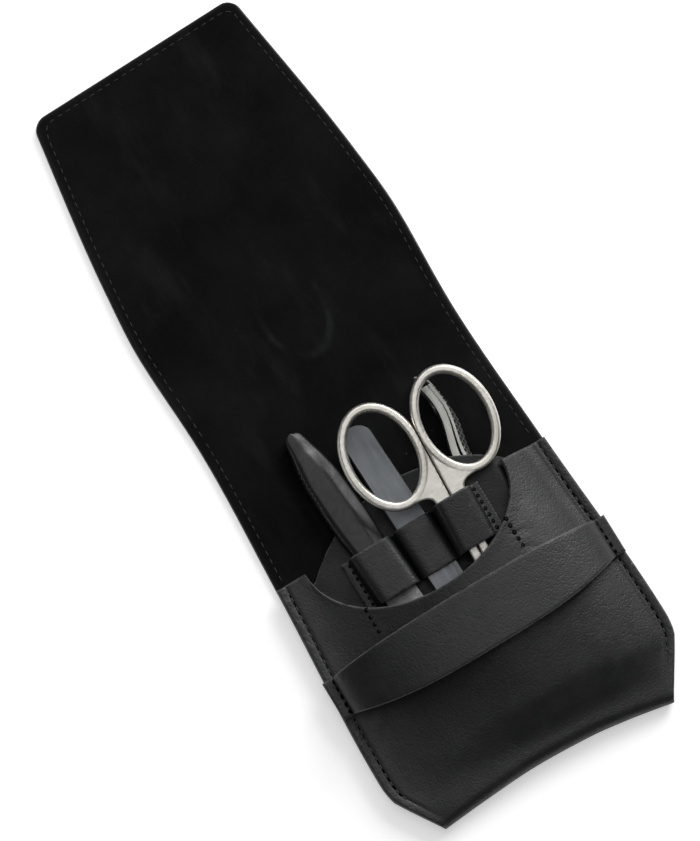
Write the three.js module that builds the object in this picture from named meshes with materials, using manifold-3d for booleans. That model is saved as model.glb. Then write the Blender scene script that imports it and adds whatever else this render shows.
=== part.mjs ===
// A leather manicure case, open flat, with a nail file, tweezers, nail scissors and a nail clipper.
// Millimetres. X runs across the case, Y from the pocket's bottom towards the flap, Z is up.
import * as THREE from 'three';
import Module from 'manifold-3d';
import { mergeVertices } from 'three/addons/utils/BufferGeometryUtils.js';

const wasm = await Module();
wasm.setup();

// Case outline: half widths, and heights measured from the bottom tips
const CASE_LENGTH = 207.4;
const TIP_HALF = 31.5;
const WIDE_HALF = 40.95;
const WIDE_HEIGHT = 19;
const HORN_HALF = 38.25;
const HORN_HEIGHT = 71.5;
const LEFT_HORN_RISE = 1.2;
const NECK_HALF = 36.5;
const NECK_HEIGHT = 112;
const BROW_HALF = 37.5;
const BROW_HEIGHT = 141;
const END_HALF = 29.9;
const END_CORNER = 3.6;
const BOTTOM_HOLLOW = 2.7;
const SPLIT_RUN = 1.4;

// Creases of the flap, with the strip between them that becomes the closed case's top edge
const CREASE_HEIGHT = 114.5;
const FOLD_WIDTH = 13.5;
const CREASE_GAP = 0.2;

// Sheet thicknesses and the clearance between pieces that rest on each other
const HIDE = 1.2;
const SUEDE = 0.7;
const PANEL = 0.9;
const STRIP = 0.9;
const STRAP = 1.2;
const SEAT = 0.3;
const LINING_INSET = 0.4;
const LINING_STEP = 0.5;

// Pocket: scooped mouth, side seam and bulge
const SCOOP_CENTRE = -2.3;
const SCOOP_HALF = 27.7;
const SCOOP_DEPTH = 19.4;
const SEAM = 4.2;
const FOLD_SWELL = 1.6;
const FOLD_RISE = 12;
const BULGE_CENTRE = 10.8;

// Holder panel behind the tools
const PANEL_INSET = 0.6;
const PANEL_BOTTOM = 14;
const DOME_RADIUS = 40.5;
const DOME_TOP = 81.8;
const DOME_HALF = 29;
const HUMP_LEFT_RUN = 3.5;
const HUMP_RIGHT_RUN = 10;
const HUMP_MARGIN = 0.9;

// Loop strip: its edges, its end tabs and its four lines of stitching
const LOOP_BOTTOM = 56.3;
const LOOP_TOP = 70;
const STITCH_FILE_LEFT = -19.3;
const STITCH_FILE_RIGHT = -6.3;
const STITCH_MIDDLE_RIGHT = 4.2;
const STITCH_SCISSORS_RIGHT = 16.2;
const STRIP_TAB = 2;

// Strap that holds the closed flap
const STRAP_END_WIDTH = 10.5;
const STRAP_MIDDLE_WIDTH = 16;
const STRAP_END_HEIGHT = 42;
const STRAP_MIDDLE_HEIGHT = 40.4;
const STRAP_LIFT = 3;
const STRAP_OVERHANG = 0.3;
const STRAP_TAPER = 3;

// Nail file
const FILE_X = -13.1;
const FILE_Y = 67.3;
const FILE_LEAN = 3.45;
const HANDLE_LENGTH = 37.1;
const HANDLE_HALF = 5.1;
const HANDLE_THICK = 4;
const HANDLE_SIDE = 2.1;
const HANDLE_RIGHT_BEVEL = 2.3;
const HANDLE_LEFT_BEVEL = 0.9;
const HANDLE_TIP_THICK = 1.9;
const BLADE_LENGTH = 53;
const BLADE_HALF = 4.25;
const BLADE_THICK = 1;
const BLADE_TIP_HALF = 0.9;
const TANG_LENGTH = 11;
const TANG_HALF = 2.2;

// Tweezers
const TWEEZERS_X = -1.95;
const TWEEZERS_Y = 97.8;
const TWEEZERS_LEAN = 1.7;
const TWEEZERS_LENGTH = 84;
const TWEEZERS_HALF = 4.2;
const TWEEZERS_TOP_HALF = 3.9;
const TWEEZERS_TIP_HALF = 1.4;
const TWEEZERS_TOP_RADIUS = 3;
const ARM_THICK = 1;
const ARM_BOW = 1;
const ARM_GAP = 0.3;

// Scissors, drawn closed, with the pivot as their origin
const SCISSORS_X = 8.75;
const SCISSORS_Y = 42;
const SCISSORS_LEAN = 2.65;
const SCISSORS_TILT = 6;
const RING_CENTRE_X = 10.05;
const RING_CENTRE_Y = 44.6;
const RING_HALF_X = 10.25;
const RING_HALF_Y = 14.15;
const HOLE_HALF_X = 7.95;
const HOLE_HALF_Y = 11.75;
const RING_THICK = 2.3;
const WEB_THICK = 1.9;
const WEB_ROUND = 0.3;
const SHANK_HALF = 4.15;
const SHANK_WAIST = 2.45;
const SHANK_TOP = 28.4;
const SHANK_WAIST_Y = 12.8;
const HALVES_GAP = 0.3;
const JOINT_RADIUS = 3.8;
const JOINT_THICK = 1.15;
const JOINT_GAP = 0.15;
const SHEAR_LENGTH = 29;
const SHEAR_BACK = 2.9;
const SHEAR_EDGE = 1.5;
const SHEAR_TIP = 0.35;
const SCREW_RADIUS = 1.1;
const SCREW_RUNNING = 0.1;
const SCREW_HEAD_RADIUS = 2.1;
const SCREW_HEAD_THICK = 0.35;
const SCREW_SLOT_WIDTH = 0.5;
const SCREW_SLOT_DEPTH = 0.2;

// Nail clipper, standing on edge behind the holder panel
const CLIPPER_X = 18.35;
const CLIPPER_Y = 96.9;
const CLIPPER_LENGTH = 50;
const CLIPPER_WIDTH = 6;
const CLIPPER_BOW = 1.34;
const CLIPPER_BOW_Y = -5.9;
const CLIPPER_BOW_HALF_WAVE = 15;
const LEAF_THICK = 0.85;
const LEAF_GAP = 0.25;
const LEAF_PARTING = -11;
const JAW_SPREAD = 1.5;
const JAW_LIP = 3.1;
const JAW_OPENING = 1.9;
const RIVET_Y = -5.5;
const RIVET_RADIUS = 1.2;
const RIVET_HEAD_RADIUS = 1.8;
const RIVET_HEAD_THICK = 0.25;
const POST_Y = -43;
const POST_RADIUS = 1;
const POST_HEAD_RADIUS = 1.9;
const POST_HEAD_THICK = 0.6;
const POST_NECK_WIDTH = 3;
const PIN_RADIUS = 0.6;
const PIN_RUNNING = 0.1;
const EAR_RADIUS = 1.3;
const EAR_THICK = 0.9;
const LEVER_THICK = 0.8;
const LEVER_OVERHANG = 3.4;
const LEVER_CURL = 2.6;
const LEVER_WAIST = 4.4;

// How finely curves are cut into facets
const ROUND = 24;
const OVERRUN = 2;

const degrees = (angle) => (angle * Math.PI) / 180;
const mix = (a, b, share) => a + (b - a) * share;
const clamp01 = (value) => Math.min(1, Math.max(0, value));
const smooth = (value) => {
  const t = clamp01(value);
  return t * t * (3 - 2 * t);
};
const spread = (count) => Array.from({ length: count + 1 }, (_, i) => i / count);

// A smooth curve through stations [place, value] that never overshoots them
function curveThrough(stations) {
  const slopes = [];
  for (let i = 0; i + 1 < stations.length; i += 1) {
    const [x0, y0] = stations[i];
    const [x1, y1] = stations[i + 1];
    slopes.push((y1 - y0) / (x1 - x0));
  }
  const tangents = stations.map((_, i) => {
    if (i === 0) return slopes[0];
    if (i === slopes.length) return slopes[i - 1];
    const before = slopes[i - 1];
    const after = slopes[i];
    return before * after <= 0 ? 0 : (2 * before * after) / (before + after);
  });
  return (place) => {
    let i = 0;
    while (i < slopes.length - 1 && place > stations[i + 1][0]) i += 1;
    const [x0, y0] = stations[i];
    const [x1, y1] = stations[i + 1];
    const width = x1 - x0;
    const t = clamp01((place - x0) / width);
    const t2 = t * t;
    const t3 = t2 * t;
    return y0 * (2 * t3 - 3 * t2 + 1) + tangents[i] * width * (t3 - 2 * t2 + t)
      + y1 * (3 * t2 - 2 * t3) + tangents[i + 1] * width * (t3 - t2);
  };
}

// A closed body from corner points and triangles, turned so that its faces point out
function body(points, triangles) {
  let volume = 0;
  for (const [a, b, c] of triangles) {
    const [ax, ay, az] = points[a];
    const [bx, by, bz] = points[b];
    const [cx, cy, cz] = points[c];
    volume += ax * (by * cz - bz * cy) + ay * (bz * cx - bx * cz) + az * (bx * cy - by * cx);
  }
  const order = volume < 0 ? triangles.map(([a, b, c]) => [a, c, b]) : triangles;
  const geometry = new THREE.BufferGeometry();
  geometry.setAttribute('position', new THREE.Float32BufferAttribute(points.flat(), 3));
  geometry.setIndex(order.flat());
  return geometry;
}

// A sheet between two grids of points: rows[j][i] holds { low, high }
function sheet(rows) {
  const high = rows.length;
  const wide = rows[0].length;
  const points = [];
  for (const row of rows) for (const cell of row) points.push(cell.low);
  for (const row of rows) for (const cell of row) points.push(cell.high);
  const low = (i, j) => j * wide + i;
  const top = (i, j) => high * wide + j * wide + i;
  const triangles = [];
  const quad = (a, b, c, d) => triangles.push([a, b, c], [a, c, d]);
  for (let j = 0; j + 1 < high; j += 1) {
    for (let i = 0; i + 1 < wide; i += 1) {
      quad(top(i, j), top(i + 1, j), top(i + 1, j + 1), top(i, j + 1));
      quad(low(i, j + 1), low(i + 1, j + 1), low(i + 1, j), low(i, j));
    }
  }
  for (let i = 0; i + 1 < wide; i += 1) {
    quad(low(i, 0), low(i + 1, 0), top(i + 1, 0), top(i, 0));
    quad(top(i, high - 1), top(i + 1, high - 1), low(i + 1, high - 1), low(i, high - 1));
  }
  for (let j = 0; j + 1 < high; j += 1) {
    quad(low(0, j + 1), low(0, j), top(0, j), top(0, j + 1));
    quad(top(wide - 1, j + 1), top(wide - 1, j), low(wide - 1, j), low(wide - 1, j + 1));
  }
  return body(points, triangles);
}

// A body through rings of points, each ring with the same count, closed by a flat fan at both ends
function loft(rings) {
  const count = rings[0].length;
  const points = rings.flat();
  const triangles = [];
  for (let j = 0; j + 1 < rings.length; j += 1) {
    for (let i = 0; i < count; i += 1) {
      const next = (i + 1) % count;
      const a = j * count + i;
      const b = j * count + next;
      triangles.push([a, b, b + count], [a, b + count, a + count]);
    }
  }
  const last = (rings.length - 1) * count;
  for (let i = 1; i + 1 < count; i += 1) {
    triangles.push([0, i + 1, i], [last, last + i, last + i + 1]);
  }
  return body(points, triangles);
}

// Joining and cutting closed bodies
function solidOf(geometry) {
  const plain = geometry.clone();
  plain.deleteAttribute('normal');
  plain.deleteAttribute('uv');
  const merged = mergeVertices(plain);
  return new wasm.Manifold(new wasm.Mesh({
    numProp: 3,
    vertProperties: new Float32Array(merged.attributes.position.array),
    triVerts: new Uint32Array(merged.index.array),
  }));
}

function geometryOf(solid) {
  const mesh = solid.getMesh();
  const geometry = new THREE.BufferGeometry();
  geometry.setAttribute('position', new THREE.BufferAttribute(mesh.vertProperties, mesh.numProp));
  geometry.setIndex(new THREE.BufferAttribute(mesh.triVerts, 1));
  return geometry;
}

const join = (first, ...others) => geometryOf(
  others.reduce((whole, piece) => whole.add(solidOf(piece)), solidOf(first)),
);
const cut = (first, ...others) => geometryOf(
  others.reduce((whole, piece) => whole.subtract(solidOf(piece)), solidOf(first)),
);

function extrude(shape, bottom, height, round = 0) {
  const settings = { depth: height - 2 * round, bevelEnabled: round > 0, curveSegments: ROUND / 2 };
  if (round > 0) {
    Object.assign(settings, {
      bevelThickness: round, bevelSize: round, bevelOffset: -round, bevelSegments: 2,
    });
  }
  const geometry = new THREE.ExtrudeGeometry(shape, settings);
  geometry.translate(0, 0, bottom + round);
  return geometry;
}

const polygon = (points) => new THREE.Shape(points.map(([x, y]) => new THREE.Vector2(x, y)));

function ellipse(centreX, centreY, halfX, halfY) {
  const shape = new THREE.Shape();
  shape.absellipse(centreX, centreY, halfX, halfY, 0, 2 * Math.PI);
  return shape;
}

// Upright round bar, and one that lies along X
function upright(x, y, bottom, height, radius) {
  const bar = new THREE.CylinderGeometry(radius, radius, height, ROUND);
  bar.rotateX(Math.PI / 2);
  bar.translate(x, y, bottom + height / 2);
  return bar;
}

function crossBar(x0, x1, y, z, radius) {
  const bar = new THREE.CylinderGeometry(radius, radius, x1 - x0, ROUND);
  bar.rotateZ(Math.PI / 2);
  bar.translate((x0 + x1) / 2, y, z);
  return bar;
}

function block(x0, x1, y0, y1, z0, z1) {
  const box = new THREE.BoxGeometry(x1 - x0, y1 - y0, z1 - z0);
  box.translate((x0 + x1) / 2, (y0 + y1) / 2, (z0 + z1) / 2);
  return box;
}

// Heights of the stacked layers
const liningTop = HIDE + SUEDE;
const panelLow = liningTop + SEAT;
const panelTop = panelLow + PANEL;
const humpRise = CLIPPER_WIDTH + SEAT;
const humpTop = panelTop + humpRise;
const seamLow = panelTop + SEAT;
const seamTop = seamLow + HIDE;
const scissorsRise = Math.tan(degrees(SCISSORS_TILT));
const scissorsLow = (y) => humpTop + SEAT - (LOOP_TOP - y) * scissorsRise;
const crownThick = Math.max(RING_THICK, 2 * JOINT_THICK + JOINT_GAP + SCREW_HEAD_THICK);
const crownLow = (y) => scissorsLow(y) + crownThick + SEAT;
const bulgeRise = crownLow(LOOP_BOTTOM) + STRIP + 2 * SEAT - seamLow;

// The case's half width at a height above the bottom tips
const CORNER_SHARES = [[0.3, 0.395], [0.6, 0.78], [0.75, 0.94]];
const BROW_SHARE = [0.28, 0.17];
const edgeCurve = curveThrough([
  [0, TIP_HALF],
  ...CORNER_SHARES.map(([up, out]) => [WIDE_HEIGHT * up, mix(TIP_HALF, WIDE_HALF, out)]),
  [WIDE_HEIGHT, WIDE_HALF],
  [HORN_HEIGHT, HORN_HALF],
  [NECK_HEIGHT, NECK_HALF],
  [BROW_HEIGHT, BROW_HALF],
  [mix(BROW_HEIGHT, CASE_LENGTH, BROW_SHARE[0]), mix(BROW_HALF, END_HALF, BROW_SHARE[1])],
  [CASE_LENGTH, END_HALF],
]);

// Flat layers of the case between two heights, with the flap's end rounded at its corners
function layerOutline(from, to, inset, isEnd) {
  const top = isEnd ? to - inset : to;
  const straightTop = isEnd ? top - END_CORNER : top;
  const steps = Math.max(2, Math.round((straightTop - from) / (FOLD_WIDTH / 3)));
  const side = spread(steps).map((share) => {
    const y = mix(from, straightTop, share);
    return [edgeCurve(y) - inset, y];
  });
  if (isEnd) {
    const reach = edgeCurve(straightTop) - inset;
    for (const turn of spread(4).slice(1)) {
      const angle = (turn * Math.PI) / 2;
      side.push([
        reach - END_CORNER * (1 - Math.cos(angle)),
        straightTop + END_CORNER * Math.sin(angle),
      ]);
    }
  }
  return polygon([...side, ...side.map(([x, y]) => [-x, y]).reverse()]);
}

const flat = (from, to, inset, bottom, thick, isEnd = false) => extrude(
  layerOutline(from, to, inset, isEnd), bottom, thick,
);

const foldEnd = CREASE_HEIGHT + FOLD_WIDTH;
const splitHeight = BOTTOM_HOLLOW + (seamTop + FOLD_SWELL) / 2 + SPLIT_RUN;
const liningStart = splitHeight + LINING_STEP;
const halfGap = CREASE_GAP / 2;
const backLeather = () => flat(splitHeight, CREASE_HEIGHT - halfGap, 0, 0, HIDE);
const foldLeather = () => flat(CREASE_HEIGHT + halfGap, foldEnd - halfGap, 0, 0, HIDE);
const flapLeather = () => flat(foldEnd + halfGap, CASE_LENGTH, 0, 0, HIDE, true);
const backLining = () => flat(
  liningStart, CREASE_HEIGHT - halfGap, LINING_INSET, HIDE, SUEDE,
);
const foldLining = () => flat(
  CREASE_HEIGHT + halfGap, foldEnd - halfGap, LINING_INSET, HIDE, SUEDE,
);
const flapLining = () => flat(
  foldEnd + halfGap, CASE_LENGTH, LINING_INSET, HIDE, SUEDE, true,
);

// The pocket's front swells over the tools, most over the scissors, and lies flat in the side seams
const FULLNESS_SHARES = [[0.04, 0.15], [0.2, 0.62], [0.42, 0.88], [0.6, 1], [1, 1]];
const fullness = curveThrough(FULLNESS_SHARES.map(([up, full]) => [HORN_HEIGHT * up, full]));
const LEFT_SWELL_POWER = 1.9;
const RIGHT_SWELL_POWER = 0.9;

function frontOuter(x, y) {
  const reach = edgeCurve(y) - SEAM;
  const side = x < BULGE_CENTRE ? -reach : reach;
  const out = clamp01((x - BULGE_CENTRE) / (side - BULGE_CENTRE));
  const power = x < BULGE_CENTRE ? LEFT_SWELL_POWER : RIGHT_SWELL_POWER;
  return seamTop + bulgeRise * fullness(y) * (1 - out * out) ** power;
}

const hornTop = (x) => HORN_HEIGHT + LEFT_HORN_RISE * clamp01((SCOOP_CENTRE - x) / SCOOP_HALF);

function scoopEdge(x) {
  const out = clamp01(Math.abs(x - SCOOP_CENTRE) / SCOOP_HALF);
  return mix(hornTop(x), HORN_HEIGHT - SCOOP_DEPTH, Math.sqrt(1 - out * out));
}

// Columns across the pocket: [share of the half width, height of the mouth's edge there]
function pocketColumns() {
  const left = SCOOP_CENTRE - SCOOP_HALF;
  const right = SCOOP_CENTRE + SCOOP_HALF;
  const seamX = HORN_HALF - SEAM;
  const horn = (x) => [x / HORN_HALF, hornTop(x)];
  const columns = [-HORN_HALF, -mix(seamX, HORN_HALF, 0.5), -seamX, mix(-seamX, left, 0.5)].map(horn);
  for (const turn of spread(16)) {
    const x = SCOOP_CENTRE + SCOOP_HALF * Math.sin((turn - 0.5) * Math.PI);
    const y = scoopEdge(x);
    columns.push([x / edgeCurve(y), y]);
  }
  for (const share of [0.35, 0.7, 1]) columns.push(horn(mix(right, seamX, share)));
  columns.push(horn(mix(seamX, HORN_HALF, 0.5)), horn(HORN_HALF));
  return columns;
}

// The front's middle surface down one column: back, round the bottom fold and up to the mouth
function pocketPath([across, mouth]) {
  const foldTop = seamTop + FOLD_SWELL * (1 - across * across);
  const middleTop = foldTop - HIDE / 2;
  const radius = (middleTop - HIDE / 2) / 2;
  const hollow = BOTTOM_HOLLOW * (1 - across * across);
  const turnY = hollow + HIDE / 2 + radius;
  const path = [[splitHeight, HIDE / 2]];
  for (const turn of spread(6)) {
    const angle = turn * Math.PI;
    path.push([turnY - radius * Math.sin(angle), HIDE / 2 + radius - radius * Math.cos(angle)]);
  }
  for (const up of [0.03, 0.08, 0.15, 0.24, 0.34, 0.45, 0.56, 0.67, 0.78, 0.89, 1]) {
    const y = mix(turnY, mouth, up);
    const x = across * edgeCurve(y);
    const blend = smooth((y - turnY) / FOLD_RISE);
    path.push([y, mix(middleTop, frontOuter(x, y) - HIDE / 2, blend)]);
  }
  return path;
}

function pocketFront() {
  const columns = pocketColumns().map((column) => {
    const [across] = column;
    const path = pocketPath(column);
    return path.map(([y, z], k) => {
      const [y0, z0] = path[Math.max(0, k - 1)];
      const [y1, z1] = path[Math.min(path.length - 1, k + 1)];
      const along = k === 0 ? [-1, 0] : [y1 - y0, z1 - z0];
      const size = Math.hypot(...along);
      const offY = (along[1] / size) * (HIDE / 2);
      const offZ = (-along[0] / size) * (HIDE / 2);
      const corner = (sign) => {
        const cornerY = y + sign * offY;
        return [across * edgeCurve(cornerY), cornerY, z + sign * offZ];
      };
      return { low: corner(-1), high: corner(1) };
    });
  });
  return sheet(columns);
}

// The holder panel's upper face: flat, with a hump where the clipper stands behind it
const clipperJawX = CLIPPER_X - JAW_SPREAD - LEAF_THICK - POST_HEAD_THICK;
const pinX = CLIPPER_X + JAW_SPREAD + LEAF_THICK + SEAT + EAR_RADIUS;
const humpLeft = clipperJawX - HUMP_MARGIN;
const clipperBottomY = CLIPPER_Y - CLIPPER_LENGTH;
const humpStart = clipperBottomY - 2 * CLIPPER_WIDTH;

function humpShare(x, y) {
  const right = mix(pinX + EAR_RADIUS, pinX, smooth((y - LOOP_BOTTOM) / (LOOP_TOP - LOOP_BOTTOM)));
  const rising = smooth((x - humpLeft + HUMP_LEFT_RUN) / HUMP_LEFT_RUN);
  const falling = 1 - smooth((x - right - SEAT) / HUMP_RIGHT_RUN);
  const fading = smooth((y - humpStart) / (clipperBottomY - humpStart));
  return rising * falling * fading;
}

const panelUpper = (x, y) => panelTop + humpRise * humpShare(x, y);

function domeEdge(x) {
  const out = Math.min(Math.abs(x), DOME_HALF);
  return DOME_TOP - DOME_RADIUS + Math.sqrt(DOME_RADIUS ** 2 - out ** 2);
}

function holderPanel() {
  const shoulder = edgeCurve(domeEdge(DOME_HALF)) - PANEL_INSET;
  const humpPlaces = [
    humpLeft - HUMP_LEFT_RUN, humpLeft - 0.75 * HUMP_LEFT_RUN, humpLeft - 0.5 * HUMP_LEFT_RUN,
    humpLeft - 0.25 * HUMP_LEFT_RUN, humpLeft, mix(humpLeft, pinX, 0.5), pinX,
  ];
  const domeShares = [-1, -0.82, -0.62, -0.42, -0.22, -0.04];
  const farShares = [0.25, 0.5, 0.75, 1];
  const farX = pinX + EAR_RADIUS;
  const places = [
    -shoulder, ...domeShares.map((share) => share * DOME_HALF), ...humpPlaces, farX,
    ...farShares.map((share) => mix(farX, shoulder, share)),
  ];
  const lowRows = [PANEL_BOTTOM, ...spread(4).map((up) => mix(humpStart, clipperBottomY, up)), LOOP_BOTTOM];
  const highRows = [0.33, 0.67, 1];
  const heights = [
    ...lowRows.map((y) => () => y),
    ...highRows.map((up) => (place) => mix(LOOP_BOTTOM, domeEdge(place), up)),
  ];
  const rows = heights.map((height) => places.map((place) => {
    const y = height(place);
    const x = (place / shoulder) * (edgeCurve(y) - PANEL_INSET);
    const z = panelUpper(x, y);
    return { low: [x, y, z - PANEL], high: [x, y, z] };
  }));
  return sheet(rows);
}

// A strip that follows a path of [x, z] places, given for each height y
function bandAlong(paths, thick) {
  return sheet(paths.map(({ ys, path }) => path.map(([x, z], k) => {
    const [x0, z0] = path[Math.max(0, k - 1)];
    const [x1, z1] = path[Math.min(path.length - 1, k + 1)];
    const size = Math.hypot(x1 - x0, z1 - z0);
    const offX = (-(z1 - z0) / size) * (thick / 2);
    const offZ = ((x1 - x0) / size) * (thick / 2);
    const y = ys[k];
    return { low: [x - offX, y, z - offZ], high: [x + offX, y, z + offZ] };
  })));
}

// One loop from foot to foot over a tool: walls close to the tool, a rounded top
function loopPath(footLeft, footRight, wallLeft, wallRight, top, y) {
  const low = (x) => panelUpper(x, y) + SEAT + STRIP / 2;
  const middle = top + STRIP / 2;
  const round = STRIP;
  return [
    [footLeft, low(footLeft)],
    [wallLeft - STRIP / 2, mix(low(wallLeft), middle, 0.25)],
    [wallLeft - STRIP / 2, mix(low(wallLeft), middle, 0.7)],
    [wallLeft + round * 0.2, middle - round * 0.25],
    [wallLeft + round, middle],
    [wallRight - round, middle],
    [wallRight - round * 0.2, middle - round * 0.25],
    [wallRight + STRIP / 2, mix(low(wallRight), middle, 0.7)],
    [wallRight + STRIP / 2, mix(low(wallRight), middle, 0.25)],
    [footRight, low(footRight)],
  ];
}

const toolLow = panelTop + SEAT;
const fileAxis = (y) => FILE_X - (y - FILE_Y) * Math.tan(degrees(FILE_LEAN));
const tweezersAxis = (y) => TWEEZERS_X - (y - TWEEZERS_Y) * Math.tan(degrees(TWEEZERS_LEAN));
const scissorsAxis = (y) => SCISSORS_X + (y - SCISSORS_Y) * Math.tan(degrees(SCISSORS_LEAN));
const tweezersThick = 2 * (ARM_THICK + ARM_BOW);
const fileReach = Math.max(BLADE_HALF, HANDLE_HALF * 0.93);

function stripPath(y) {
  const low = (x) => panelUpper(x, y) + SEAT + STRIP / 2;
  const wall = 2 * SEAT;
  return [
    [STITCH_FILE_LEFT - STRIP_TAB, low(STITCH_FILE_LEFT)],
    ...loopPath(
      STITCH_FILE_LEFT, STITCH_FILE_RIGHT, fileAxis(y) - fileReach - SEAT, fileAxis(y) + fileReach + wall,
      toolLow + HANDLE_THICK + SEAT, y,
    ),
    ...loopPath(
      STITCH_FILE_RIGHT, STITCH_MIDDLE_RIGHT, tweezersAxis(y) - TWEEZERS_HALF - wall,
      tweezersAxis(y) + TWEEZERS_HALF + wall, toolLow + tweezersThick + SEAT, y,
    ).slice(1),
    ...loopPath(
      STITCH_MIDDLE_RIGHT, STITCH_SCISSORS_RIGHT, scissorsAxis(y) - SHANK_HALF - wall,
      scissorsAxis(y) + SHANK_HALF + wall, crownLow(y), y,
    ).slice(1),
    [STITCH_SCISSORS_RIGHT + STRIP_TAB, low(STITCH_SCISSORS_RIGHT + STRIP_TAB)],
  ];
}

function loopStrip() {
  return bandAlong(spread(3).map((up) => {
    const y = mix(LOOP_BOTTOM, LOOP_TOP, up);
    const path = stripPath(y);
    return { ys: path.map(() => y), path };
  }), STRIP);
}

// The strap lies flat on the side seams and arches over the pocket between them
const strapLow = seamTop + SEAT;
const strapReach = edgeCurve(STRAP_END_HEIGHT) - SEAM + STRAP;
const strapRise = bulgeRise + STRAP_LIFT;
const strapTop = strapLow + strapRise + STRAP;

function strap() {
  const end = edgeCurve(STRAP_END_HEIGHT) + STRAP_OVERHANG;
  const middle = strapLow + STRAP / 2;
  const arch = spread(24).map((turn) => {
    const angle = (turn - 0.5) * Math.PI;
    return [strapReach * Math.sin(angle), middle + strapRise * Math.cos(angle)];
  });
  const path = [[-end, middle], [mix(-end, -strapReach, 0.5), middle], ...arch,
    [mix(end, strapReach, 0.5), middle], [end, middle]];
  const heights = (sign) => path.map(([x]) => {
    const out = clamp01(Math.abs(x) / strapReach) ** STRAP_TAPER;
    const half = mix(STRAP_MIDDLE_WIDTH, STRAP_END_WIDTH, out) / 2;
    return mix(STRAP_MIDDLE_HEIGHT, STRAP_END_HEIGHT, out) + sign * half;
  });
  return bandAlong([-1, 0, 1].map((sign) => ({ ys: heights(sign), path })), STRAP);
}

// Nail file: a moulded handle with bevelled edges round the tang of a flat blade.
// Its origin is the handle's lower end, on the underside.
const HANDLE_SHARES = [
  [0, 0.86], [0.1, 0.93], [0.33, 1], [0.58, 0.97], [0.76, 0.8], [0.85, 0.65], [0.93, 0.52],
  [0.975, 0.4], [1, 0.16],
];
const handleHalf = curveThrough(
  HANDLE_SHARES.map(([up, out]) => [HANDLE_LENGTH * up, HANDLE_HALF * out]),
);

function fileHandle() {
  const places = [0, 0.06, 0.14, 0.24, 0.34, 0.46, 0.58, 0.68, 0.76, 0.82, 0.87, 0.91, 0.945, 0.975, 1];
  const rings = places.map((up) => {
    const y = HANDLE_LENGTH * up;
    const half = handleHalf(y);
    const top = mix(HANDLE_THICK, HANDLE_TIP_THICK, smooth((up - 0.8) / 0.2));
    const side = Math.min(HANDLE_SIDE, top * 0.6);
    const taper = Math.min(1, half / (HANDLE_HALF * 0.8));
    const left = HANDLE_LEFT_BEVEL * taper;
    const right = HANDLE_RIGHT_BEVEL * taper;
    const foot = SEAT * taper;
    return [
      [-half + foot, y, 0], [half - foot, y, 0], [half, y, foot], [half, y, side],
      [half - right, y, top], [-half + left, y, top], [-half, y, side], [-half, y, foot],
    ];
  });
  const slotHalf = TANG_HALF + SEAT;
  const middle = HANDLE_THICK / 2;
  const slot = block(
    -slotHalf, slotHalf, -OVERRUN, TANG_LENGTH + SEAT,
    middle - BLADE_THICK / 2 - SEAT, middle + BLADE_THICK / 2 + SEAT,
  );
  return cut(loft(rings), slot);
}

function fileBlade() {
  const shoulder = -SEAT;
  const shape = new THREE.Shape();
  shape.moveTo(TANG_HALF, TANG_LENGTH);
  shape.lineTo(-TANG_HALF, TANG_LENGTH);
  shape.lineTo(-TANG_HALF, shoulder);
  shape.lineTo(-BLADE_HALF, shoulder);
  const tip = shoulder - BLADE_LENGTH;
  const bend = tip + BLADE_LENGTH * 0.45;
  shape.lineTo(-BLADE_HALF, bend);
  shape.quadraticCurveTo(-BLADE_HALF, mix(bend, tip, 0.5), -BLADE_TIP_HALF, tip + BLADE_TIP_HALF);
  shape.quadraticCurveTo(0, tip - BLADE_TIP_HALF, BLADE_TIP_HALF, tip + BLADE_TIP_HALF);
  shape.quadraticCurveTo(BLADE_HALF, mix(bend, tip, 0.5), BLADE_HALF, bend);
  shape.lineTo(BLADE_HALF, shoulder);
  shape.lineTo(TANG_HALF, shoulder);
  return extrude(shape, (HANDLE_THICK - BLADE_THICK) / 2, BLADE_THICK);
}

// Tweezers: two sprung arms that part from their joined top and meet again near the slanted tips.
// Their origin is the middle of the top end, on the underside.
const TWEEZERS_SHARES = [[0.06, 0], [0.3, 0.7], [0.5, 1], [0.8, 1], [1, 0.9]];
const TWEEZERS_WIDTH_SHARES = [[0.12, 0.96], [0.45, 1], [0.6, 0.96], [0.8, 0.72]];

function armRings(facing) {
  const middle = ARM_THICK + ARM_BOW;
  const bowHalf = ARM_BOW - ARM_GAP / 2;
  const bow = curveThrough([
    [0, 0],
    ...TWEEZERS_SHARES.map(([down, out]) => [TWEEZERS_LENGTH * down, bowHalf * out]),
  ]);
  const half = curveThrough([
    [TWEEZERS_TOP_RADIUS, TWEEZERS_TOP_HALF],
    ...TWEEZERS_WIDTH_SHARES.map(([down, out]) => [TWEEZERS_LENGTH * down, TWEEZERS_HALF * out]),
    [TWEEZERS_LENGTH, TWEEZERS_TIP_HALF],
  ]);
  const topDrop = [0, 0.12, 0.35, 0.65, 1].map((share) => TWEEZERS_TOP_RADIUS * share);
  const downs = [...topDrop, ...[0.1, 0.16, 0.24, 0.33, 0.42, 0.5, 0.58, 0.66, 0.74, 0.82, 0.91, 1]
    .map((share) => TWEEZERS_LENGTH * share)];
  return downs.map((down) => {
    const out = 1 - Math.min(1, down / TWEEZERS_TOP_RADIUS);
    const corner = TWEEZERS_TOP_RADIUS * (1 - Math.sqrt(1 - out * out));
    const side = half(Math.max(down, TWEEZERS_TOP_RADIUS)) - corner;
    const near = middle + facing * (ARM_GAP / 2 + bow(down));
    const far = near + facing * ARM_THICK;
    const slant = down === TWEEZERS_LENGTH ? TWEEZERS_TIP_HALF : 0;
    return [
      [-side, -down, near], [side, -down + slant, near],
      [side, -down + slant, far], [-side, -down, far],
    ];
  });
}

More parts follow.
